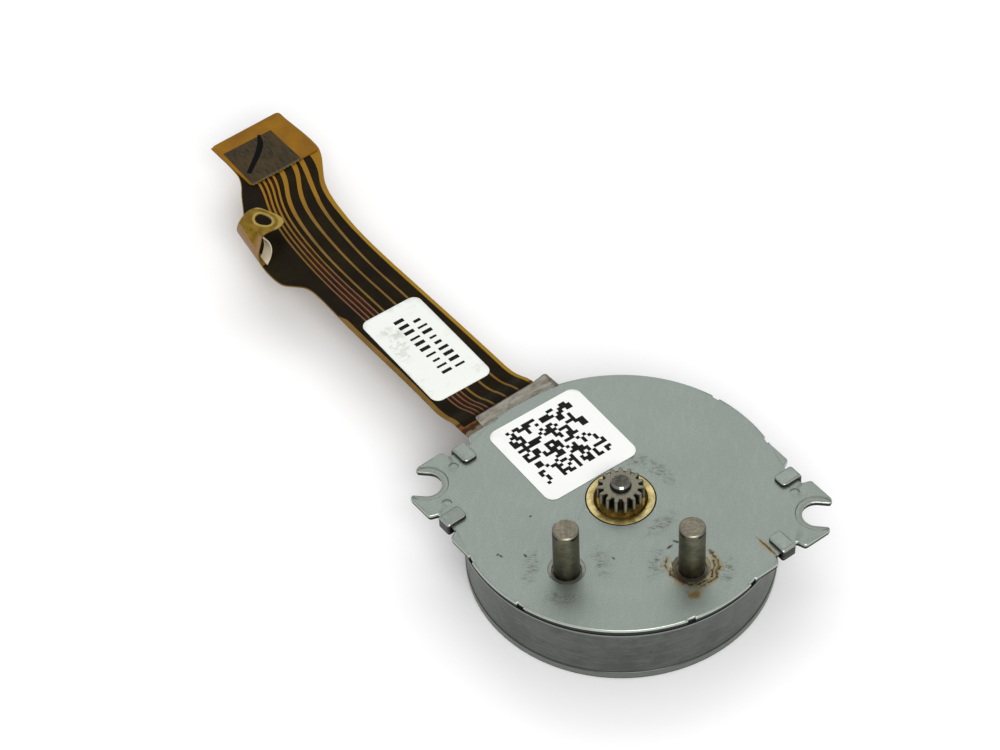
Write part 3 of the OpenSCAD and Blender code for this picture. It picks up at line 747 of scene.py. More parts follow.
def shaft_steel():
    s = Shader("shaft_steel", Metallic=0.9)
    z = s.xyz()[2]
    lines = s.noise(1.2, 5.0, 0.7, stretch=(0.25, 0.25, 8.0))
    tone = s.noise(1.8, 4.0, 0.7)
    # painted shade: the shaft's side is kept dark
    side = s.mix(s.range(lines, 0.35, 0.68), srgb(44, 42, 42), srgb(84, 82, 82))
    face = s.mix(s.range(tone, 0.35, 0.65), srgb(60, 60, 53), srgb(36, 35, 31))
    col = s.mix(s.range(z, SHAFT_TOP - 0.06, SHAFT_TOP - 0.01), side, face)
    # painted highlight on the top chamfer
    edge = s.times(s.range(z, SHAFT_TOP - 0.3, SHAFT_TOP - 0.2),
                  s.range(s.up(), 0.97, 0.9))
    return s.done(s.mix(s.times(edge, 0.7), col, srgb(150, 150, 144)),
                  s.minus(s.range(tone, 0.3, 0.7, 0.22, 0.36), s.times(edge, 0.1)),
                  s.plus(lines, tone), 0.004, 0.6)


def pinion_steel():
    s = Shader("pinion_steel", Metallic=0.75)
    d = s.flat()
    z = s.xyz()[2]
    tone = s.noise(2.6, 5.0, 0.65)
    col = s.mix(s.range(tone, 0.3, 0.7), srgb(88, 87, 74), srgb(114, 113, 99))
    red = s.range(s.noise(0.8, 4.0, 0.6), 0.5, 0.66)
    col = s.over(col, red, srgb(104, 84, 70), 0.4)
    side = s.range(s.up(), 0.4, 0.15)
    # painted highlight on the tooth tips
    tip = s.times(side, s.range(d, 2.56, 2.66))
    col = s.over(col, tip, srgb(168, 168, 152), 0.8)
    # painted shade down in the gaps between the teeth
    tooth_gap_shade = s.times(side, s.range(d, 2.64, 2.42))
    col = s.over(col, tooth_gap_shade, srgb(15, 12, 9), 0.95)
    low = s.times(s.range(z, 11.2, 10.4), s.range(tone, 0.3, 0.6))
    col = s.over(col, low, srgb(44, 34, 18), 0.6)
    return s.done(col, s.range(tone, 0.3, 0.7, 0.32, 0.5), tone, 0.008, 0.5)


def film_done(s, colour, grain, gloss):
    return s.done(colour, s.range(grain, 0.3, 0.7, gloss, gloss + 0.14), grain, 0.004, 0.5)


def polyimide(name, amber, dark, gloss=0.28, strength=0.5, shine=0.06):
    s = Shader(name, Specular_IOR_Level=shine)
    broad = s.noise(0.25, 3.0)
    grain = s.noise(6.0, 4.0, 0.6)
    streak = s.noise(0.9, 4.0, 0.6, twist=1.0)
    col = s.mix(s.range(broad, 0.3, 0.7), amber, dark)
    col = s.mix(s.range(streak, 0.45, 0.75, 0.0, strength), col, dark)
    return s, col, grain, gloss


def sheet(name, amber, dark, gloss=0.28, strength=0.5, shine=0.06):
    s, col, grain, gloss = polyimide(name, amber, dark, gloss, strength, shine)
    return film_done(s, col, grain, gloss)


def flex_sheet():
    """Base film: olive between the wide tracks, pinkish between the narrow ones."""
    s, col, grain, gloss = polyimide("flex_polyimide", srgb(118, 90, 36), srgb(100, 74, 26))
    far, w, z = s.along()
    narrow = s.times(s.range(w, -2.1, -2.4), s.range(far, 56.0, 50.0))
    narrow = s.times(narrow, s.range(w, -5.6, -5.2))
    col = s.mix(narrow, col, srgb(104, 71, 47))
    col = s.mix(s.range(w, 3.2, 3.4), col, srgb(142, 108, 20))
    col = s.mix(s.range(far, 58.0, 68.0), col, srgb(134, 96, 14))
    # its root: painted shadow under the film's free edge, then a corner in bands of amber, painted
    # shade of a rolled fold, and grey
    bend = s.plus(far, s.range(s.noise(0.7, 4.0, 0.6), 0.2, 0.8, -0.45, 0.45, False))
    col = s.over(col, s.range(bend, 21.7, 21.2), srgb(40, 26, 8), 0.85)
    corner = s.range(w, -4.4, -4.8)
    col = s.mix(s.times(s.range(bend, 20.9, 20.6), corner), col, srgb(104, 60, 8))
    col = s.mix(s.times(s.range(bend, 20.3, 20.0), corner), col, srgb(46, 26, 8))
    col = s.mix(s.times(s.range(bend, 19.6, 19.2), corner), col, srgb(112, 100, 76))
    # the folded tab: pink-tan outer wall, olive flap with a light rim
    nx, ny, nz = s.xyz(s.node("ShaderNodeNewGeometry").outputs["Normal"])
    out = s.times(s.plus(nx, ny), ROOT2)
    high = s.times(s.range(z, 7.1, 7.3), s.range(far, 57.0, 57.5))
    flap = s.mix(s.range(s.noise(0.8, 4.0, 0.6), 0.35, 0.65), srgb(98, 74, 12), srgb(124, 100, 34))
    col = s.mix(s.times(high, s.range(nz, 0.1, 0.3)), col, flap)
    eye = s.flat(((TAB_HOLE[1] - TAB_HOLE[0]) * ROOT2, (TAB_HOLE[1] + TAB_HOLE[0]) * ROOT2, 0))
    ring = s.between(eye, 1.02, 1.08, 1.42, 1.3)
    tip = s.times(s.range(eye, 1.75, 1.95), s.range(w, -5.6, -5.0))
    light = s.times(s.math("MAXIMUM", ring, tip), s.times(
        high, s.range(z, 8.5, 8.6)))
    col = s.over(col, light, srgb(164, 144, 78), 0.7)
    col = s.mix(s.times(high, s.range(out, -0.35, -0.6)), col,
                s.mix(grain, srgb(146, 118, 82), srgb(128, 98, 72)))
    return film_done(s, col, grain, gloss)


def tracks(name, light, dark):
    """Cover film over copper: dull, with painted shadow where the clear film's free edge lies over
    it.
    """
    s, col, grain, gloss = polyimide(name, light, dark, 0.42, 0.5, 0.04)
    far = s.along()[0]
    patch = s.times(s.range(s.noise(0.16, 3.0, 0.6), 0.5, 0.56), s.range(far, 30, 36))
    col = s.over(col, patch, srgb(20, 12, 6), 0.6)
    # painted shadow under the clear film's free edge
    return film_done(s, s.mix(s.range(far, 21.7, 21.2, 0.0, 0.8), col, srgb(14, 10, 4)), grain, gloss)


def thin_film():
    """Clear film gone cloudy: creased along its bend, with painted shade along its free edge and its
    raised corner.
    """
    s = Shader("clear_film", Alpha=0.84, Specular_IOR_Level=0.25)
    far, w, z = s.along()
    crease = s.noise(1.1, 5.0, 0.7, stretch=(1.6, 0.45, 1.0), v=s.combine(far, w, z))
    cloud = s.noise(0.8, 4.0, 0.6)
    col = s.mix(s.range(crease, 0.36, 0.62), srgb(102, 96, 84), srgb(146, 142, 130))
    col = s.mix(s.range(cloud, 0.45, 0.65, 0.0, 0.5), col, srgb(128, 122, 108))
    # painted shade along the free edge and the raised corner
    edge = s.math("MAXIMUM", s.range(far, 20.6, 20.75), s.range(w, 5.1, 5.4))
    col = s.over(col, edge, srgb(72, 62, 48), 0.7)
    return s.done(col, s.range(crease, 0.3, 0.7, 0.22, 0.36), crease, 0.03, 0.6)


def tape():
    """Grey tape on the contact end: streaky across the circuit, lighter at the saw edge."""
    s = Shader("grey_tape", Specular_IOR_Level=0.1)
    far, w, z = s.along()
    weave = s.noise(1.5, 4.0, 0.65, stretch=(0.5, 2.2, 1.0), v=s.combine(far, w, z))
    cloud = s.noise(0.5, 4.0, 0.6)
    col = s.mix(s.range(weave, 0.36, 0.64), srgb(54, 42, 16), srgb(30, 23, 6))
    col = s.mix(s.range(cloud, 0.42, 0.62, 0.0, 0.6), col, srgb(62, 45, 12))
    col = s.mix(s.range(far, 71.3, 70.9, 0.0, 0.55), col, srgb(112, 96, 66))
    return s.done(col, s.range(weave, 0.3, 0.7, 0.3, 0.45), weave, 0.01, 0.5)


def paper(name, tint, spread, smudges=()):
    s = Shader(name, Roughness=0.5)
    fibre = s.noise(6.0, 5.0, 0.7)
    broad = s.noise(0.35, 4.0, 0.6)
    col = s.mix(s.range(fibre, 0.4, 0.75, 0.0, 0.25), tint, tuple(c * 0.9 for c in tint))
    dirt = s.range(broad, 0.56, 0.72, 0.0, spread)
    col = s.mix(dirt, col, srgb(176, 172, 156))
    smear = s.times(s.range(s.noise(0.8, 5.0, 0.75, twist=1.5), 0.62, 0.75),
                   s.range(broad, 0.45, 0.7))
    col = s.mix(s.times(smear, spread * 1.6), col, srgb(120, 118, 106))
    if smudges:
        masks = most(s, [blotch(s, x, y, r, k, a, 0.8, 0.4) for x, y, r, k, a in smudges])
        worn = s.times(masks, s.range(s.noise(0.9, 4.0, 0.6, twist=1.0), 0.45, 0.62))
        col = s.over(col, worn, srgb(138, 138, 126), 0.4)
    s.set("Base Color", col)
    s.bump(fibre, 0.004, 0.5)
    return s.mat


MAT = {
    "zinc_plate": zinc(),
    "can_steel": can_steel(),
    "bearing_brass": brass(),
    "hub_brass": brass("hub_brass"),
    "sintered_bronze": bush_bronze(),
    "post_steel": post_steel(),
    "shaft_steel": shaft_steel(),
    "pinion_steel": pinion_steel(),
    "lamination_steel": steel("lamination_steel", srgb(140, 142, 146), srgb(84, 86, 90), 0.45,
                              (0.2, 0.2, 12.0)),
    "yoke_steel": steel("yoke_steel", srgb(170, 172, 174), srgb(120, 122, 124), 0.3),
    "tinned_metal": steel("tinned_metal", srgb(196, 198, 200), srgb(150, 152, 154), 0.3,
                          (1.5, 1.5, 1.5)),
    "contact_gold": steel("contact_gold", srgb(214, 178, 96), srgb(178, 140, 66), 0.25,
                          (1.5, 1.5, 1.5)),
    "copper_winding": steel("copper_winding", srgb(184, 110, 66), srgb(116, 58, 30), 0.3,
                            (0.5, 0.5, 9.0)),
    "magnet_black": steel("magnet_black", srgb(78, 76, 74), srgb(48, 47, 46), 0.55,
                          (1.0, 1.0, 1.0), 0.2),
    "white_plastic": plastic("white_plastic", srgb(226, 224, 214), srgb(204, 200, 188)),
    "insulator_plastic": plastic("insulator_plastic", srgb(222, 214, 194), srgb(196, 186, 160)),
    "board_laminate": plastic("board_laminate", srgb(30, 92, 58), srgb(18, 62, 38), 0.35),
    "black_plastic": plastic("black_plastic", srgb(34, 34, 36), srgb(20, 20, 22), 0.45),
}


# ---------------------------------------------------------------- plate with ears
def quarter():
    """Half of the right ear and its flank, in the first quadrant."""
    def flank(d, t):
        return ((d + t) / math.sqrt(2), (d - t) / math.sqrt(2))

    notch = arc(NOTCH_X, 0, NOTCH_R, 180, 90, 14)
    corners = [(NOTCH_X, NOTCH_R), (EAR_TIP_X, NOTCH_R), (EAR_TIP_X, EAR_TIP_Y),
               flank(FLANK_D, 11.6), flank(INSET_D, 11.2), flank(INSET_D, 8.1),
               flank(FLANK_D, 7.65), flank(FLANK_D, 5.0)]
    edge = rounded(corners, [0, 0.32, 0.42, 0.45, 0.3, 0.3, 0.45, 0])
    return notch[:-1] + edge


def plate_outline():
    q = quarter()
    start = math.degrees(math.acos(FLANK_D / PLATE_R))
    a0, a1 = 45 - start, 135 + start
    nicks = [60, 120, -60, -120, 33.6, 146.4, -33.6, -146.4]

    def radius(a):
        off = a - 131
        return min(PLATE_R, 18.62 / math.cos(math.radians(off))) if abs(off) < 20 else PLATE_R

    def round_part(lo, hi):
        stops = [(lo + (hi - lo) * i / 150, 0.0) for i in range(151)]
        for k in nicks:
            stops = [q for q in stops if abs(q[0] - k) > 1.9]
            if lo < k < hi:
                stops += [(k - 1.4, 0.0), (k - 1.3, 0.22), (k + 1.3, 0.22), (k + 1.4, 0.0)]
        return [((radius(a) - cut) * math.cos(math.radians(a)),
                 (radius(a) - cut) * math.sin(math.radians(a))) for a, cut in sorted(stops)]

    right = q + round_part(a0, a1)
    left = [(-x, y) for x, y in q[::-1]]
    low_left = [(-x, -y) for x, y in q]
    low = round_part(-180 + a0, -a0)
    low_right = [(x, -y) for x, y in q[::-1]]
    return clean(right + left + low_left[1:] + low + low_right[:-1])


def ramp(x, a, b):
    """0 up to a, 1 from b on, and straight between."""
    return max(0.0, min(1.0, (x - a) / (b - a)))


def plate_place(x, y, z):
    up = (z - PLATE_BOTTOM) / PLATE_T
    reach = math.hypot(min(0.0, abs(x) - NOTCH_X), y)
    z -= COIN_T * up * (1 - ramp(reach, COIN_R, COIN_R + 0.08))
    for dx, dy in DIMPLES:
        d = math.hypot(x - dx, y - dy)
        if d < DIMPLE_R + 0.3:
            z += up * DIMPLE_H * 0.6 * (1 - ramp(d, DIMPLE_R - 0.22, DIMPLE_R))
    for px, py in POSTS.values():
        d = math.hypot(x - px, y - py)
        if d < 2.3:
            z -= up * 0.05 * (1 - ramp(d, 2.06, 2.14))
    return (x, y, z)


def coin_chains():
    out = []
    for side in (1, -1):
        for r, end in ((COIN_R, 23.3), (COIN_R + 0.08, 23.2)):
            half = [(end, r), *arc(NOTCH_X, 0, r, 90, 270, 24), (end, -r)]
            out.append([(side * x, y) for x, y in half])
    return out


def closed_circle(cx, cy, r, n):
    ring = circle(cx, cy, r, n)
    return ring + ring[:1]


def make_plate():
    creases = coin_chains()
    for dx, dy in DIMPLES:
        creases += [closed_circle(dx, dy, DIMPLE_R + e, 28) for e in (-0.22, -0.11, 0.0)]
    for px, py in POSTS.values():
        creases += [closed_circle(px, py, r, 48) for r in (2.06, 2.14)]
    holes = [circle(0, 0, HOLDER_R + 0.09, 128)]
    holes += [circle(x, y, POST_R + 0.17, 64) for x, y in POSTS.values()]
    rim_levels = [(0.10, PLATE_BOTTOM), (0.08, 9.56), (0.0, 9.62), (0.0, 9.76), (0.02, 9.87),
                  (0.07, 9.95), (0.16, PLATE_TOP)]
    hole_rim = [(0.0, PLATE_BOTTOM), (0.0, 9.93), (0.02, 9.98), (0.05, PLATE_TOP)]
    piece("mounting_plate_formed",
          slab(plate_outline(), holes, rim_levels, plate_place, creases, None, hole_rim),
          "zinc_plate", ["mounting_plate"], 40)


# ---------------------------------------------------------------- can with crimp tabs
FLEX_AZ = 135.0
WINDOW_W = (-7.9, 5.7)
WINDOW_Z = 8.6


def make_can():
    inner = CAN_R - CAN_T
    outer = rounded(
        [(0.6, 0), (CAN_R - BEVEL, 0), (CAN_R, BEVEL), (CAN_R, BAND_H),
         (CAN_R - BAND_OUT, BAND_H + BAND_OUT), (CAN_R - BAND_OUT, FLANGE_LOW),
         (FLANGE_R, FLANGE_LOW),
         (FLANGE_R, CAN_TOP), (inner, CAN_TOP), (inner, CAN_T + BEVEL), (inner - BEVEL, CAN_T),
         (0.6, CAN_T)],
        [0, 0.1, 0.1, 0.03, 0.03, 0.12, 0.06, 0.35, 0.15, 0.1, 0.1, 0], 4)
    lo, hi = (FLEX_AZ - math.degrees(math.asin(WINDOW_W[1] / CAN_R)),
              FLEX_AZ - math.degrees(math.asin(WINDOW_W[0] / CAN_R)))
    n = 240
    stops = [hi + (360 - hi + lo) * i / n for i in range(n + 1)]
    gap = [lo + (hi - lo) * i / 24 for i in range(25)]
    low = [(min(max(r, inner), CAN_R) if z > WINDOW_Z else r, min(z, WINDOW_Z))
           for r, z in outer]
    columns = [(a, outer) for a in stops] + [(a, low) for a in gap]
    verts, faces, m = [], [], len(outer)
    for a, prof in columns:
        c, s = math.cos(math.radians(a)), math.sin(math.radians(a))
        verts += [(r * c, r * s, z) for r, z in prof]
    k = len(columns)
    for i in range(k):
        j = (i + 1) % k
        for q in range(m - 1):
            faces.append((i * m + q, j * m + q, j * m + q + 1, i * m + q + 1))
    faces.append(tuple(i * m for i in range(k))[::-1])
    faces.append(tuple(i * m + m - 1 for i in range(k)))
    parts = [(verts, faces)]
    # tabs bent up through the plate's slots and over onto its face
    prof = rounded([(TAB_ROOT, FLANGE_LOW), (TAB_OUT, FLANGE_LOW), (TAB_OUT, PLATE_TOP + TAB_T),
                    (TAB_TIP, PLATE_TOP + TAB_T), (TAB_TIP, PLATE_TOP),
                    (TAB_OUT - TAB_T, PLATE_TOP), (TAB_OUT - TAB_T, CAN_TOP),
                    (TAB_ROOT, CAN_TOP)], [0, 0.3, 0.42, 0.2, 0.06, 0.06, 0.1, 0], 6)
    side = [(0.20, 0.0), (0.13, 0.02), (0.06, 0.07), (0.02, 0.14), (0.0, 0.24), (0.0, 0.45)]
    ends = side + [(d, TAB_W - h) for d, h in side[::-1]]

    def tip_round(h):
        e = min(h, TAB_W - h)
        return TIP_CORNER - math.sqrt(max(0.0, TIP_CORNER ** 2 - max(0.0, TIP_CORNER - e) ** 2))

    for sx, sy in ((1, 1), (-1, 1), (-1, -1), (1, -1)):
        def place(d, z, h, sx=sx, sy=sy):
            t = TAB_MID - TAB_W / 2 + h
            if d < TAB_TIP + 0.6 and z > 9.8:
                d += tip_round(h)
            return (sx * (d + t) / math.sqrt(2), sy * (d - t) / math.sqrt(2), z)
        parts.append(slab(prof, [], ends, place))
    piece("rear_can_drawn", join(*parts), "can_steel", ["rear_can"], 32)


# ---------------------------------------------------------------- turned pieces
def make_turned():
    holder = rounded(
        [(BUSH_R, 2.4), (3.4, 2.4), (3.4, 8.4), (5.0, 8.4), (5.0, 9.2), (HOLDER_R, 9.2),
         (HOLDER_R, 10.0), (WELL_R + 0.1, 10.0), (WELL_R - 0.05, 9.82), (2.75, WELL_FLOOR),
         (BUSH_R, WELL_FLOOR)],
        [0.05, 0.1, 0.05, 0.05, 0.05, 0.02, 0.07, 0.08, 0.1, 0.1, 0.0], 4)
    piece("bearing_holder_turned", lathe(holder, n=160), "bearing_brass", ["bearing_holder"], 30)
    post = rounded(
        [(0.0, 8.7), (2.0, 8.7), (2.0, 9.2), (POST_R + 0.165, 9.2), (POST_R + 0.165, 9.75),
         (POST_R, 9.75), (POST_R, POST_TOP - POST_CHAMFER), (POST_R - POST_CHAMFER, POST_TOP),
         (0.0, POST_TOP)], [0, 0.1, 0.05, 0.02, 0.02, 0.02, 0.05, 0.05, 0], 4)
    for side, (x, y) in POSTS.items():
        piece(f"gear_post_{side}_turned", lathe(post, x, y, 96), "post_steel",
              [f"gear_post_{side}"], 30)
    low = SHAFT_R - SHAFT_CHAMFER
    shaft = rounded(
        [(0.0, SHAFT_LOW), (low, SHAFT_LOW), (SHAFT_R, SHAFT_LOW + SHAFT_CHAMFER),
         (SHAFT_R, SHAFT_TOP - SHAFT_CHAMFER), (low, SHAFT_TOP), (0.0, SHAFT_TOP)],
        [0, 0.05, 0.05, 0.1, 0.08, 0], 4)
    piece("shaft_ground", lathe(shaft, n=96), "shaft_steel", ["shaft"], 30, body="rotor")


def make_pinion():
    pitch = 360 / TEETH
    shape = [(ROOT_R, 0.365), (ROOT_R + 0.06, 0.325), (ROOT_R + 0.16, 0.300), (2.28, 0.285),
             (2.38, 0.258), (2.48, 0.222), (2.57, 0.182), (2.64, 0.138), (2.685, 0.098),
             (TIP_R, 0.06)]
    ring = []
    for k in range(TEETH):
        for r, t in shape:
            a = math.radians(pitch * (k - t))
            ring.append((r * math.cos(a), r * math.sin(a)))
        for r, t in shape[::-1]:
            a = math.radians(pitch * (k + t))
            ring.append((r * math.cos(a), r * math.sin(a)))
    ends = [(0.05, PINION_LOW), (0.0, PINION_LOW + 0.05), (0.0, PINION_TOP - 0.06),
            (0.02, PINION_TOP - 0.02), (0.06, PINION_TOP)]
    bore = [(0.0, PINION_LOW), (0.0, PINION_LOW + 0.05), (0.0, PINION_TOP - 0.1),
            (0.04, PINION_TOP - 0.04), (0.10, PINION_TOP)]
    mesh = slab(ring, [circle(0, 0, SHAFT_R, 64)], ends, as_is, (), None, bore)
    piece("pinion_hobbed", mesh, "pinion_steel", ["pinion"], 30, body="rotor")


# ---------------------------------------------------------------- flexible circuit
FLEX_RIGHT = [(80.1, 8.5), (72.2, 9), (70, 8.2), (67.9, 6.85), (65.6, 5.5), (62.8, 4.75),
              (59.5, 4.3), (56.7, 4), (51.5, 3.85), (43.8, 3.95), (34, 4), (24, 4), (17, 3.9)]
FLEX_LEFT = [(17, -7), (20, -7.5), (22.5, -7.1), (27, -6.85), (34, -6.75), (43.4, -6.75),
             (50, -6.5), (52.3, -6.7), (53.6, -7.9), (54.6, -8.9), (56.4, -9.1), (58.5, -9),
             (59.9, -8.6), (61, -7.9), (65.4, -7.3), (66.6, -6.2), (68.4, -5.1), (70.4, -4),
             (72.4, -2.6), (74.4, -2), (80.1, -2)]
FLEX_ROOT = [(8.8, 3.4), (8.8, -5)]
# edges of the folded side tab as (s, w, z), from its root over the fold to the flap's tip
FOLD_NEAR = [(58.9, -8.2, 6.98), (58.5, -9.0, 7.1), (58.8, -9.15, 7.7), (59.3, -8.95, 8.4),
             (59.4, -8.8, 8.5), (59.5, -8.7, 8.6), (60.1, -7.9, 9.3), (60.6, -7.3, 9.8),
             (60.9, -5.8, 9.4), (61.0, -4.4, 9.1), (61.7, -3.4, 8.75)]
FOLD_FAR = [(65.0, -7.2, 6.98), (64.8, -8.2, 7.5), (64.6, -8.5, 8.6), (64.3, -8.3, 9.8),
            (64.3, -8.2, 9.9), (64.4, -8.1, 9.92), (65.2, -6.5, 10.0), (65.2, -4.9, 9.8),
            (64.4, -4.0, 9.1), (63.1, -3.2, 8.8), (62.4, -3.1, 8.7)]
WALL_NEAR = [(60.2, -7.3, 9.55), (60.0, -6.8, 8.9), (59.6, -6.7, 7.9), (59.0, -7.4, 7.2),
             (58.5, -8.3, 7.0)]
WALL_FAR = [(61.8, -7.3, 9.6), (61.6, -6.8, 8.9), (61.2, -6.7, 7.9), (60.6, -7.4, 7.2),
            (60.1, -8.3, 7.0)]
TAB_HOLE = (63.0, -5.5, 1.0)
SHEET_RIM = [(0.02, 0.0), (0.0, 0.03), (0.0, FLEX_T - 0.03), (0.02, FLEX_T)]
BEND_R = (FLEX_IN_Z - FLEX_Z) / (2 * (1 - math.cos(math.radians(BEND_A))))
LEVEL_S = BEND_S + 2 * BEND_R * math.sin(math.radians(BEND_A))


def flex_z(s):
    """Height of the circuit's underside."""
    if s < BEND_S:
        return FLEX_IN_Z
    if s < (BEND_S + LEVEL_S) / 2:
        return FLEX_IN_Z - BEND_R + math.sqrt(BEND_R ** 2 - (s - BEND_S) ** 2)
    if s < LEVEL_S:
        return FLEX_Z + BEND_R - math.sqrt(BEND_R ** 2 - (LEVEL_S - s) ** 2)
    turn = min(1.0, (s - LEVEL_S) / WAVE_L)
    return FLEX_Z - WAVE_H * (1 - math.cos(2 * math.pi * turn)) / 2


def flex_place(s, w, h):
    return from_circuit(s, w, flex_z(s) + h)


def at_s(chain, s):
    """w of a chain of (s, w) that runs along s."""
    pts = sorted(chain)
    if s <= pts[0][0]:
        return pts[0][1]
    for (s0, w0), (s1, w1) in zip(pts, pts[1:]):
        if s <= s1:
            return w0 + (w1 - w0) * (s - s0) / max(1e-9, s1 - s0)
    return pts[-1][1]


def ribbon(lo, hi, s0, s1, low, high, step=0.7):
    """A raised strip between two chains w(s), closed at both ends."""
    n = max(2, int((s1 - s0) / step))
    verts, faces = [], []
    for i in range(n + 1):
        s = s0 + (s1 - s0) * i / n
        a, b = lo(s), hi(s)
        e = min(0.04, (b - a) * 0.2)
        verts += [flex_place(s, a, low), flex_place(s, b, low), flex_place(s, b, high - e / 2),
                  flex_place(s, b - e, high), flex_place(s, a + e, high),
                  flex_place(s, a, high - e / 2)]
    m = 6
    for i in range(n):
        for k in range(m):
            q = (k + 1) % m
            faces.append((i * m + k, (i + 1) * m + k, (i + 1) * m + q, i * m + q))
    faces.append(tuple(range(m)))
    faces.append(tuple(n * m + k for k in range(m)))
    return verts, faces


# w of the gaps between conductors at stations along s
GAPS = {
    17.0: (1.8, 0.0, -1.8, -2.7, -3.3, -3.95, -4.55),
    24.5: (1.8, 0.0, -1.8, -2.65, -3.25, -3.9, -4.5),
    44.5: (1.75, 0.0, -1.8, -2.55, -3.2, -3.85, -4.45),
    50.0: (1.6, -0.15, -1.85, -2.7, -3.3, -3.95, -4.55),
    56.0: (1.9, 0.05, -1.7, -2.55, -3.15, -3.75, -4.35),
    62.0: (2.6, 0.7, -0.97, -1.9, -2.55, -3.15, -3.75),
    66.0: (3.9, 1.95, 0.15, -0.85, -1.5, -2.1, -2.7),
    69.5: (5.25, 4.1, 2.2, 0.95, 0.2, -0.5, -1.2),
    72.0: (5.9, 4.7, 2.8, 1.5, 0.7, 0.0, -0.7),
}
# gap widths (wide, narrow) and the bare right margin, at stations along s
GAP_WIDTHS = [(17, 0.3), (52, 0.28), (58, 0.36), (62, 0.46), (66, 0.6), (71, 0.7)]
NARROW_WIDTHS = [(17, 0.2), (55, 0.2), (62, 0.26), (70, 0.32)]
MARGIN = [(17, 0.5), (56, 0.5), (62, 0.62), (68, 0.75), (71.2, 1.6)]
COVER_START = 46.0


def make_flex():
    right, left = soften(FLEX_RIGHT), soften(FLEX_LEFT)
    outline = clean(right + FLEX_ROOT + left)
    outline = dense(outline, 0.9)
    base = slab(outline, [], SHEET_RIM, flex_place, (), (0.75, 1.1))
    # folded side tab: outer wall, sharp fold and flap with an eyelet, then the inner wall
    step, width = 0.3, 4.6
    spot, fold_place, reach = loft(FOLD_NEAR, FOLD_FAR, step, width, FLEX_T)

    def unroll(s, w):
        q, v = reach * 0.6, width / 2
        for _ in range(25):
            p, e = spot(q, v), 0.02
            dq, dv = (spot(q + e, v) - p) / e, (spot(q, v + e) - p) / e
            det = dq.x * dv.y - dv.x * dq.y
            ds, dw = s - p.x, w - p.y
            q += 0.6 * (ds * dv.y - dv.x * dw) / det
            v += 0.6 * (dq.x * dw - ds * dq.y) / det
        return (q, v)

    hs, hw, hr = TAB_HOLE
    hole = [unroll(s, w) for s, w in circle(hs, hw, hr, 36)]
    flap = dense([(0.0, 0.0), (reach, 0.0), (reach, width), (0.0, width)], 0.3)
    tab = slab(flap, [hole], SHEET_RIM, fold_place, (), (0.3, 0.5))
    _, wall_place, reach = loft(WALL_NEAR, WALL_FAR, step, 1.6, FLEX_T)
    wall = dense([(0.0, 0.0), (reach, 0.0), (reach, 1.6), (0.0, 1.6)], 0.3)
    piece("flex_tab_inner_wall", slab(wall, [], SHEET_RIM, wall_place, (), (0.3, 0.5)),
          "flex_polyimide", look="tab_inner")
    piece("flex_base", join(base, tab), "flex_polyimide", ["flex_circuit"])
    # conductors under the cover film, as slightly raised strips
    stations = sorted(GAPS)
    lanes = [[(s, GAPS[s][k]) for s in stations] for k in range(7)]

    def gap(k):
        chain = soften(lanes[k])
        return lambda s: at_s(chain, s)

    low, high = FLEX_T - 0.01, FLEX_T + 0.03
    s0, s1 = 17.2, 71.2

    def half(k, s):
        return at_s(GAP_WIDTHS if k < 3 else NARROW_WIDTHS, s) / 2

    strips = [ribbon(lambda s: gap(0)(s) + half(0, s), lambda s: at_s(right, s) - at_s(MARGIN, s),
                     s0, s1, low, high)]
    fine = []
    for k in range(6):
        a, b = gap(k + 1), gap(k)
        (strips if k < 3 else fine).append(
            ribbon(lambda s, a=a, k=k: a(s) + half(k + 1, s),
                   lambda s, b=b, k=k: b(s) - half(k, s), s0, s1, low, high))

    def wide_lo(s):
        margin = 0.5 * (1 - ramp(s, COVER_START - 1.2, COVER_START)) + 0.10
        return max(at_s(left, s) + margin, -9.2)

    strips.append(ribbon(wide_lo, lambda s: gap(6)(s) - half(6, s), 20.5, 74.4, low, high, 0.35))
    for name, group, look in (("wide", strips, "flex_tracks"), ("fine", fine, "flex_tracks_fine")):
        piece(f"flex_conductors_{name}", join(*group), "flex_polyimide", look=look)


# ---------------------------------------------------------------- layers on the circuit
def layer(name, outline, thick, slot, hides, spacing):
    """A thin sheet that lies on the circuit, its rims eased by a small edge."""
    edge, low = 0.03, FLEX_T
    levels = [(edge, low), (0.0, low + thick * 0.3), (0.0, low + thick * 0.7), (edge, low + thick)]
    piece(name, slab(dense(outline, 0.6), [], levels, flex_place, (), spacing), slot, hides)


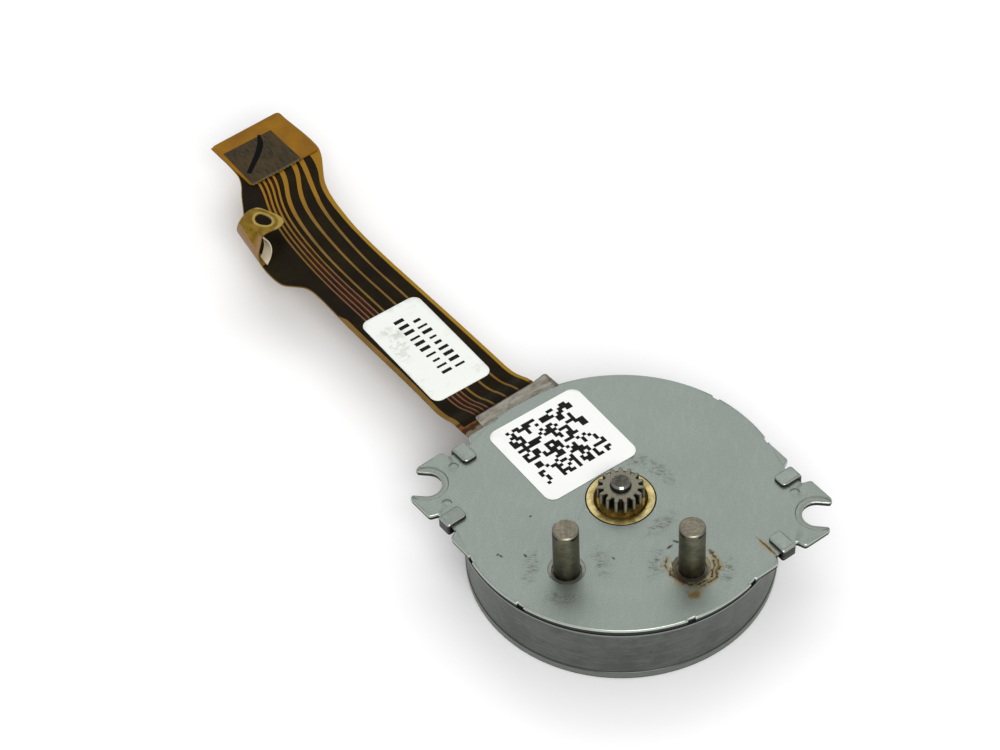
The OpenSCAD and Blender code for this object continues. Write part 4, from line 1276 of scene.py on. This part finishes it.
def make_layers():
    s0, s1, w0, w1 = STIFFENER
    stiff = rounded([(s0, w0), (s1, w0), (s1, w1), (s0, w1)], [0.6] * 4)
    layer("contact_stiffener_film", stiff, STIFF_T, "stiffener_polyimide", ["contact_stiffener"],
          (0.8, 1.0))
    teeth = 14
    step = (5.7 + 1.75) / teeth
    saw = [(70.75 + (i % 2) * 0.3, -1.75 + step * i / 2) for i in range(2 * teeth + 1)]
    tape = saw + [(77.8, 5.7), (78.0, -1.45)]
    on_stiff = FLEX_T + STIFF_T
    mesh = slab(tape, [], [(0.0, on_stiff), (0.0, on_stiff + 0.06)], flex_place, (), (0.8, 1.0))
    piece("tape_patch_saw", mesh, "grey_tape", ["tape_patch"])
    line = soften([(78, 4), (76, 3), (73, -1)])
    left, right = [], []
    for i, p in enumerate(line):
        a, b = Vector(line[max(0, i - 1)]), Vector(line[min(len(line) - 1, i + 1)])
        d = (b - a).normalized()
        along = i / (len(line) - 1)
        half = 0.2 + 0.2 * ramp(along, 0.12, 0.4) - 0.12 * ramp(along, 0.5, 1.0)
        left.append(tuple(Vector(p) + Vector((-d.y, d.x)) * half))
        right.append(tuple(Vector(p) - Vector((-d.y, d.x)) * half))
    mesh = slab(left + right[::-1], [], [(0.0, on_stiff + 0.05), (0.0, on_stiff + 0.075)],
                flex_place, (), (0.7, 0.7))
    piece("marker_stroke", mesh, "grey_tape", look="marker_ink")


def label_point(u, v):
    """Label's own axes (along, across) to the circuit's (s, w)."""
    a = math.radians(LABEL["turn"])
    return (LABEL["s"] + u * math.cos(a) - v * math.sin(a),
            LABEL["w"] + u * math.sin(a) + v * math.cos(a))


def make_label():
    d = LABEL
    outline = [label_point(u, v) for u, v in round_rect(d["length"], d["width"], d["corner"])]
    layer("part_label_paper", outline, d["t"], "label_white", ["part_label"], (0.8, 0.8))
    # two rows of plain marks where print would stand
    rng = random.Random(SEED)
    parts, pitch = [], 1.12
    for v0, count in ((1.75, 9), (-0.1, 10)):
        u = -1.6 - 3.2
        for _ in range(count):
            wide = rng.choice((0.55, 0.75, 0.9))
            tall = rng.choice((1.35, 1.35, 0.95))
            bar = [label_point(a, b) for a, b in (
                (u, v0 - tall / 2), (u + wide * 0.62, v0 - tall / 2),
                (u + wide * 0.62, v0 + tall / 2), (u, v0 + tall / 2))]
            parts.append(slab(bar, [], [(0.0, FLEX_T + d["t"] - 0.01),
                                        (0.0, FLEX_T + d["t"] + 0.012)], flex_place))
            u += pitch
    piece("part_label_marks", join(*parts), "label_white", look="print_ink")


def make_sticker():
    d = STICKER
    outline = round_rect(d["side"], d["side"], d["corner"], d["x"], d["y"], d["turn"])
    levels = [(0.02, 10.0), (0.0, 10.02), (0.0, 10.07), (0.03, 10.1)]
    piece("code_sticker_paper", slab(outline, [], levels, as_is), "sticker_white",
          ["code_sticker"])
    # plain random cells and no corner squares: a pattern that holds nothing to scan
    n, size, share = 21, 9.26, 0.48
    cell = size / n
    rng = random.Random(SEED)
    dark = [[rng.random() < share for _ in range(n)] for _ in range(n)]
    verts, faces = [], []
    z0, z1 = PLATE_TOP + 0.095, PLATE_TOP + 0.115
    cx, cy = STICKER["print"]
    c, s = math.cos(math.radians(d["turn"])), math.sin(math.radians(d["turn"]))

    def quad(*points):
        base = len(verts)
        for i, j, z in points:
            x, y = i * cell - size / 2, j * cell - size / 2
            verts.append((cx + x * c - y * s, cy + x * s + y * c, z))
        faces.append((base, base + 1, base + 2, base + 3))

    def filled(i, j):
        return 0 <= i < n and 0 <= j < n and dark[i][j]

    for i in range(n):
        for j in range(n):
            if not dark[i][j]:
                continue
            quad((i, j, z1), (i + 1, j, z1), (i + 1, j + 1, z1), (i, j + 1, z1))
            quad((i, j, z0), (i, j + 1, z0), (i + 1, j + 1, z0), (i + 1, j, z0))
            for (di, dj), (a, b) in {(1, 0): ((i + 1, j), (i + 1, j + 1)),
                                     (-1, 0): ((i, j + 1), (i, j)),
                                     (0, 1): ((i + 1, j + 1), (i, j + 1)),
                                     (0, -1): ((i, j), (i + 1, j))}.items():
                if not filled(i + di, j + dj):
                    quad((*a, z0), (*b, z0), (*b, z1), (*a, z1))
    piece("code_sticker_blocks", (verts, faces), "sticker_white", (), 20, "print_ink")


def make_film():
    """Clear film over the circuit's root, with its free end resting on the circuit."""
    ring = arc(0, 0, FILM_R, FLEX_AZ + 18, FLEX_AZ + 342, 150)

    def to_sw(x, y):
        return ((y - x) / math.sqrt(2), (x + y) / math.sqrt(2))

    outline = [to_sw(x, y) for x, y in ring][::-1]
    outline = [p for p in outline if not (p[0] > 15 and -5.2 < p[1] < 5.6)]
    tongue = rounded([(16.2, -5.0), (20.8, -5.0), (20.8, 5.6), (16.0, 5.6)],
                     [0, 0.4, 0.5, 0], 6)
    tongue = tongue[1:-1]
    cut = max(range(len(outline)), key=lambda i: math.dist(outline[i],
                                                           outline[(i + 1) % len(outline)]))
    chain = outline[cut + 1:] + outline[:cut + 1]
    if chain[-1][1] > chain[0][1]:
        tongue = tongue[::-1]
    outline = chain + dense(tongue, 0.5, False)
    holes = [circle(0, 0, FILM_HOLE_R, 64)]
    holes += [[to_sw(*p) for p in circle(x, y, FILM_POST_R, 40)] for x, y in POSTS.values()]

    def place(s, w, z):
        free = ramp(s, 19.0, 20.8)
        z += free ** 2 * (0.42 * ramp(w, 3.6, 5.6) + 0.05)
        return from_circuit(s, w, z)

    piece("insulating_film_bent",
          slab(outline, holes, [(0.0, FILM_LOW), (0.0, PLATE_BOTTOM)], place, (), (0.9, 0.9)),
          "clear_film", ["insulating_film"])


MAT["flex_polyimide"] = flex_sheet()
MAT["tab_inner"] = sheet("tab_inner", srgb(206, 196, 172), srgb(184, 168, 138), 0.3, 0.6, 0.3)
MAT["flex_tracks_fine"] = tracks("flex_tracks_fine", srgb(52, 25, 9), srgb(34, 17, 6))
MAT["flex_tracks"] = tracks("flex_tracks", srgb(29, 22, 6), srgb(17, 12, 2))
MAT["stiffener_polyimide"] = sheet("stiffener_polyimide", srgb(136, 94, 6), srgb(116, 78, 10))
MAT["grey_tape"] = tape()
MAT["marker_ink"] = plastic("marker_ink", srgb(5, 6, 8), srgb(10, 10, 11), 0.5,
                            Specular_IOR_Level=0.03)
MAT["print_ink"] = plastic("print_ink", srgb(10, 10, 10), srgb(20, 20, 19), 0.6,
                           Specular_IOR_Level=0.1)
# worn places on the label: x, y, radius, length to width, direction
SMUDGES = [(-29.9, 25.0, 0.6, 2.0, 60), (-29.0, 23.4, 0.9, 1.6, 20),
           (-28.3, 21.9, 0.8, 1.5, -30), (-31.0, 25.6, 0.5, 2.0, 45)]
MAT["label_white"] = paper("label_white", srgb(222, 225, 219), 0.45, SMUDGES)
MAT["sticker_white"] = paper("sticker_white", srgb(226, 227, 224), 0.1)
MAT["clear_film"] = thin_film()

make_plate()
make_can()
make_turned()
make_pinion()
make_flex()
make_layers()
make_label()
make_sticker()
make_film()

# ---------------------------------------------------------------- inner CAD nodes
SLOT_OF = {row["node"]: row["material_slot"] for row in frame["record"]["subparts"]}
for node, obj in frame["nodes"].items():
    mat = MAT[SLOT_OF[node]]
    obj.data.materials.clear()
    obj.data.materials.append(mat)


# ---------------------------------------------------------------- floor, light and camera
def make_floor():
    me = bpy.data.meshes.new("floor")
    me.from_pydata([(-3, -3, 0), (3, -3, 0), (3, 3, 0), (-3, 3, 0)], [], [(0, 1, 2, 3)])
    floor = link("floor", me)
    s = Shader("floor_white", Roughness=0.9)
    grain = s.noise(0.02, 2.0)
    s.set("Base Color", s.mix(grain, (0.86, 0.86, 0.86), (0.9, 0.9, 0.9)))
    me.materials.append(s.mat)


def area_light(name, size, power, place):
    """Soft box that faces the origin."""
    data = bpy.data.lights.new(name, "AREA")
    data.shape = "RECTANGLE"
    data.size, data.size_y = size
    data.energy = power
    obj = link(name, data)
    obj.location = place
    obj.rotation_euler = (-Vector(place)).to_track_quat("-Z", "Y").to_euler()


def make_world(levels):
    """Plain studio surround: grey from (height, brightness) pairs, low to high."""
    world = bpy.data.worlds.new("studio")
    bpy.context.scene.world = world
    world.use_nodes = True
    tree = world.node_tree
    bg = tree.nodes["Background"]
    tc = tree.nodes.new("ShaderNodeTexCoord")
    axis = tree.nodes.new("ShaderNodeSeparateXYZ")
    tree.links.new(tc.outputs["Generated"], axis.inputs[0])
    scale = tree.nodes.new("ShaderNodeValToRGB")
    tree.links.new(axis.outputs[2], scale.inputs[0])
    scale.color_ramp.interpolation = "EASE"
    stops = scale.color_ramp.elements
    while len(stops) < len(levels):
        stops.new(0.5)
    for stop, (height, value) in zip(stops, levels):
        stop.position = height
        stop.color = (value, value, value, 1)
    tree.links.new(scale.outputs[0], bg.inputs["Color"])
    bg.inputs["Strength"].default_value = 1.0


# camera as in the photograph, its values fitted by a program: it looks down from in front
CAM_AZ, CAM_EL, CAM_ROLL = 9.3, 0.8306588, -0.0486516
CAM_LENS, CAM_SENSOR = 115.2, 36.0
CAM_DIST, CAM_TX, CAM_TY = 0.36231, 0.013676, -0.013930


def make_camera():
    data = bpy.data.cameras.new("camera")
    data.lens, data.sensor_width, data.sensor_fit = CAM_LENS, CAM_SENSOR, "HORIZONTAL"
    data.clip_start, data.clip_end = 0.01, 20
    obj = link("camera", data)
    right = Vector((1, 0, 0))
    back = Vector((0, -math.cos(CAM_EL), math.sin(CAM_EL)))
    up = Vector((0, math.sin(CAM_EL), math.cos(CAM_EL)))
    c, s = math.cos(CAM_ROLL), math.sin(CAM_ROLL)
    r, u = right * c + up * s, -right * s + up * c
    turn = Matrix.Rotation(math.radians(CAM_AZ), 3, "Z")
    spot = Vector((0, 0, PLATE_TOP * MM)) + turn @ (back * CAM_DIST - r * CAM_TX - u * CAM_TY)
    axes = Matrix((turn @ r, turn @ u, turn @ back)).transposed().to_4x4()
    axes.translation = spot
    obj.matrix_world = axes
    bpy.context.scene.camera = obj


make_floor()
make_world([(0.0, 0.22), (0.35, 0.45), (0.75, 0.70), (1.0, 1.0)])
area_light("front_box", (0.55, 0.40), 5.0, (0.20, -0.62, 0.60))
area_light("back_box", (0.9, 0.6), 3.2, (-0.10, 0.75, 0.85))
make_camera()
bpy.context.scene.view_settings.view_transform = "Standard"
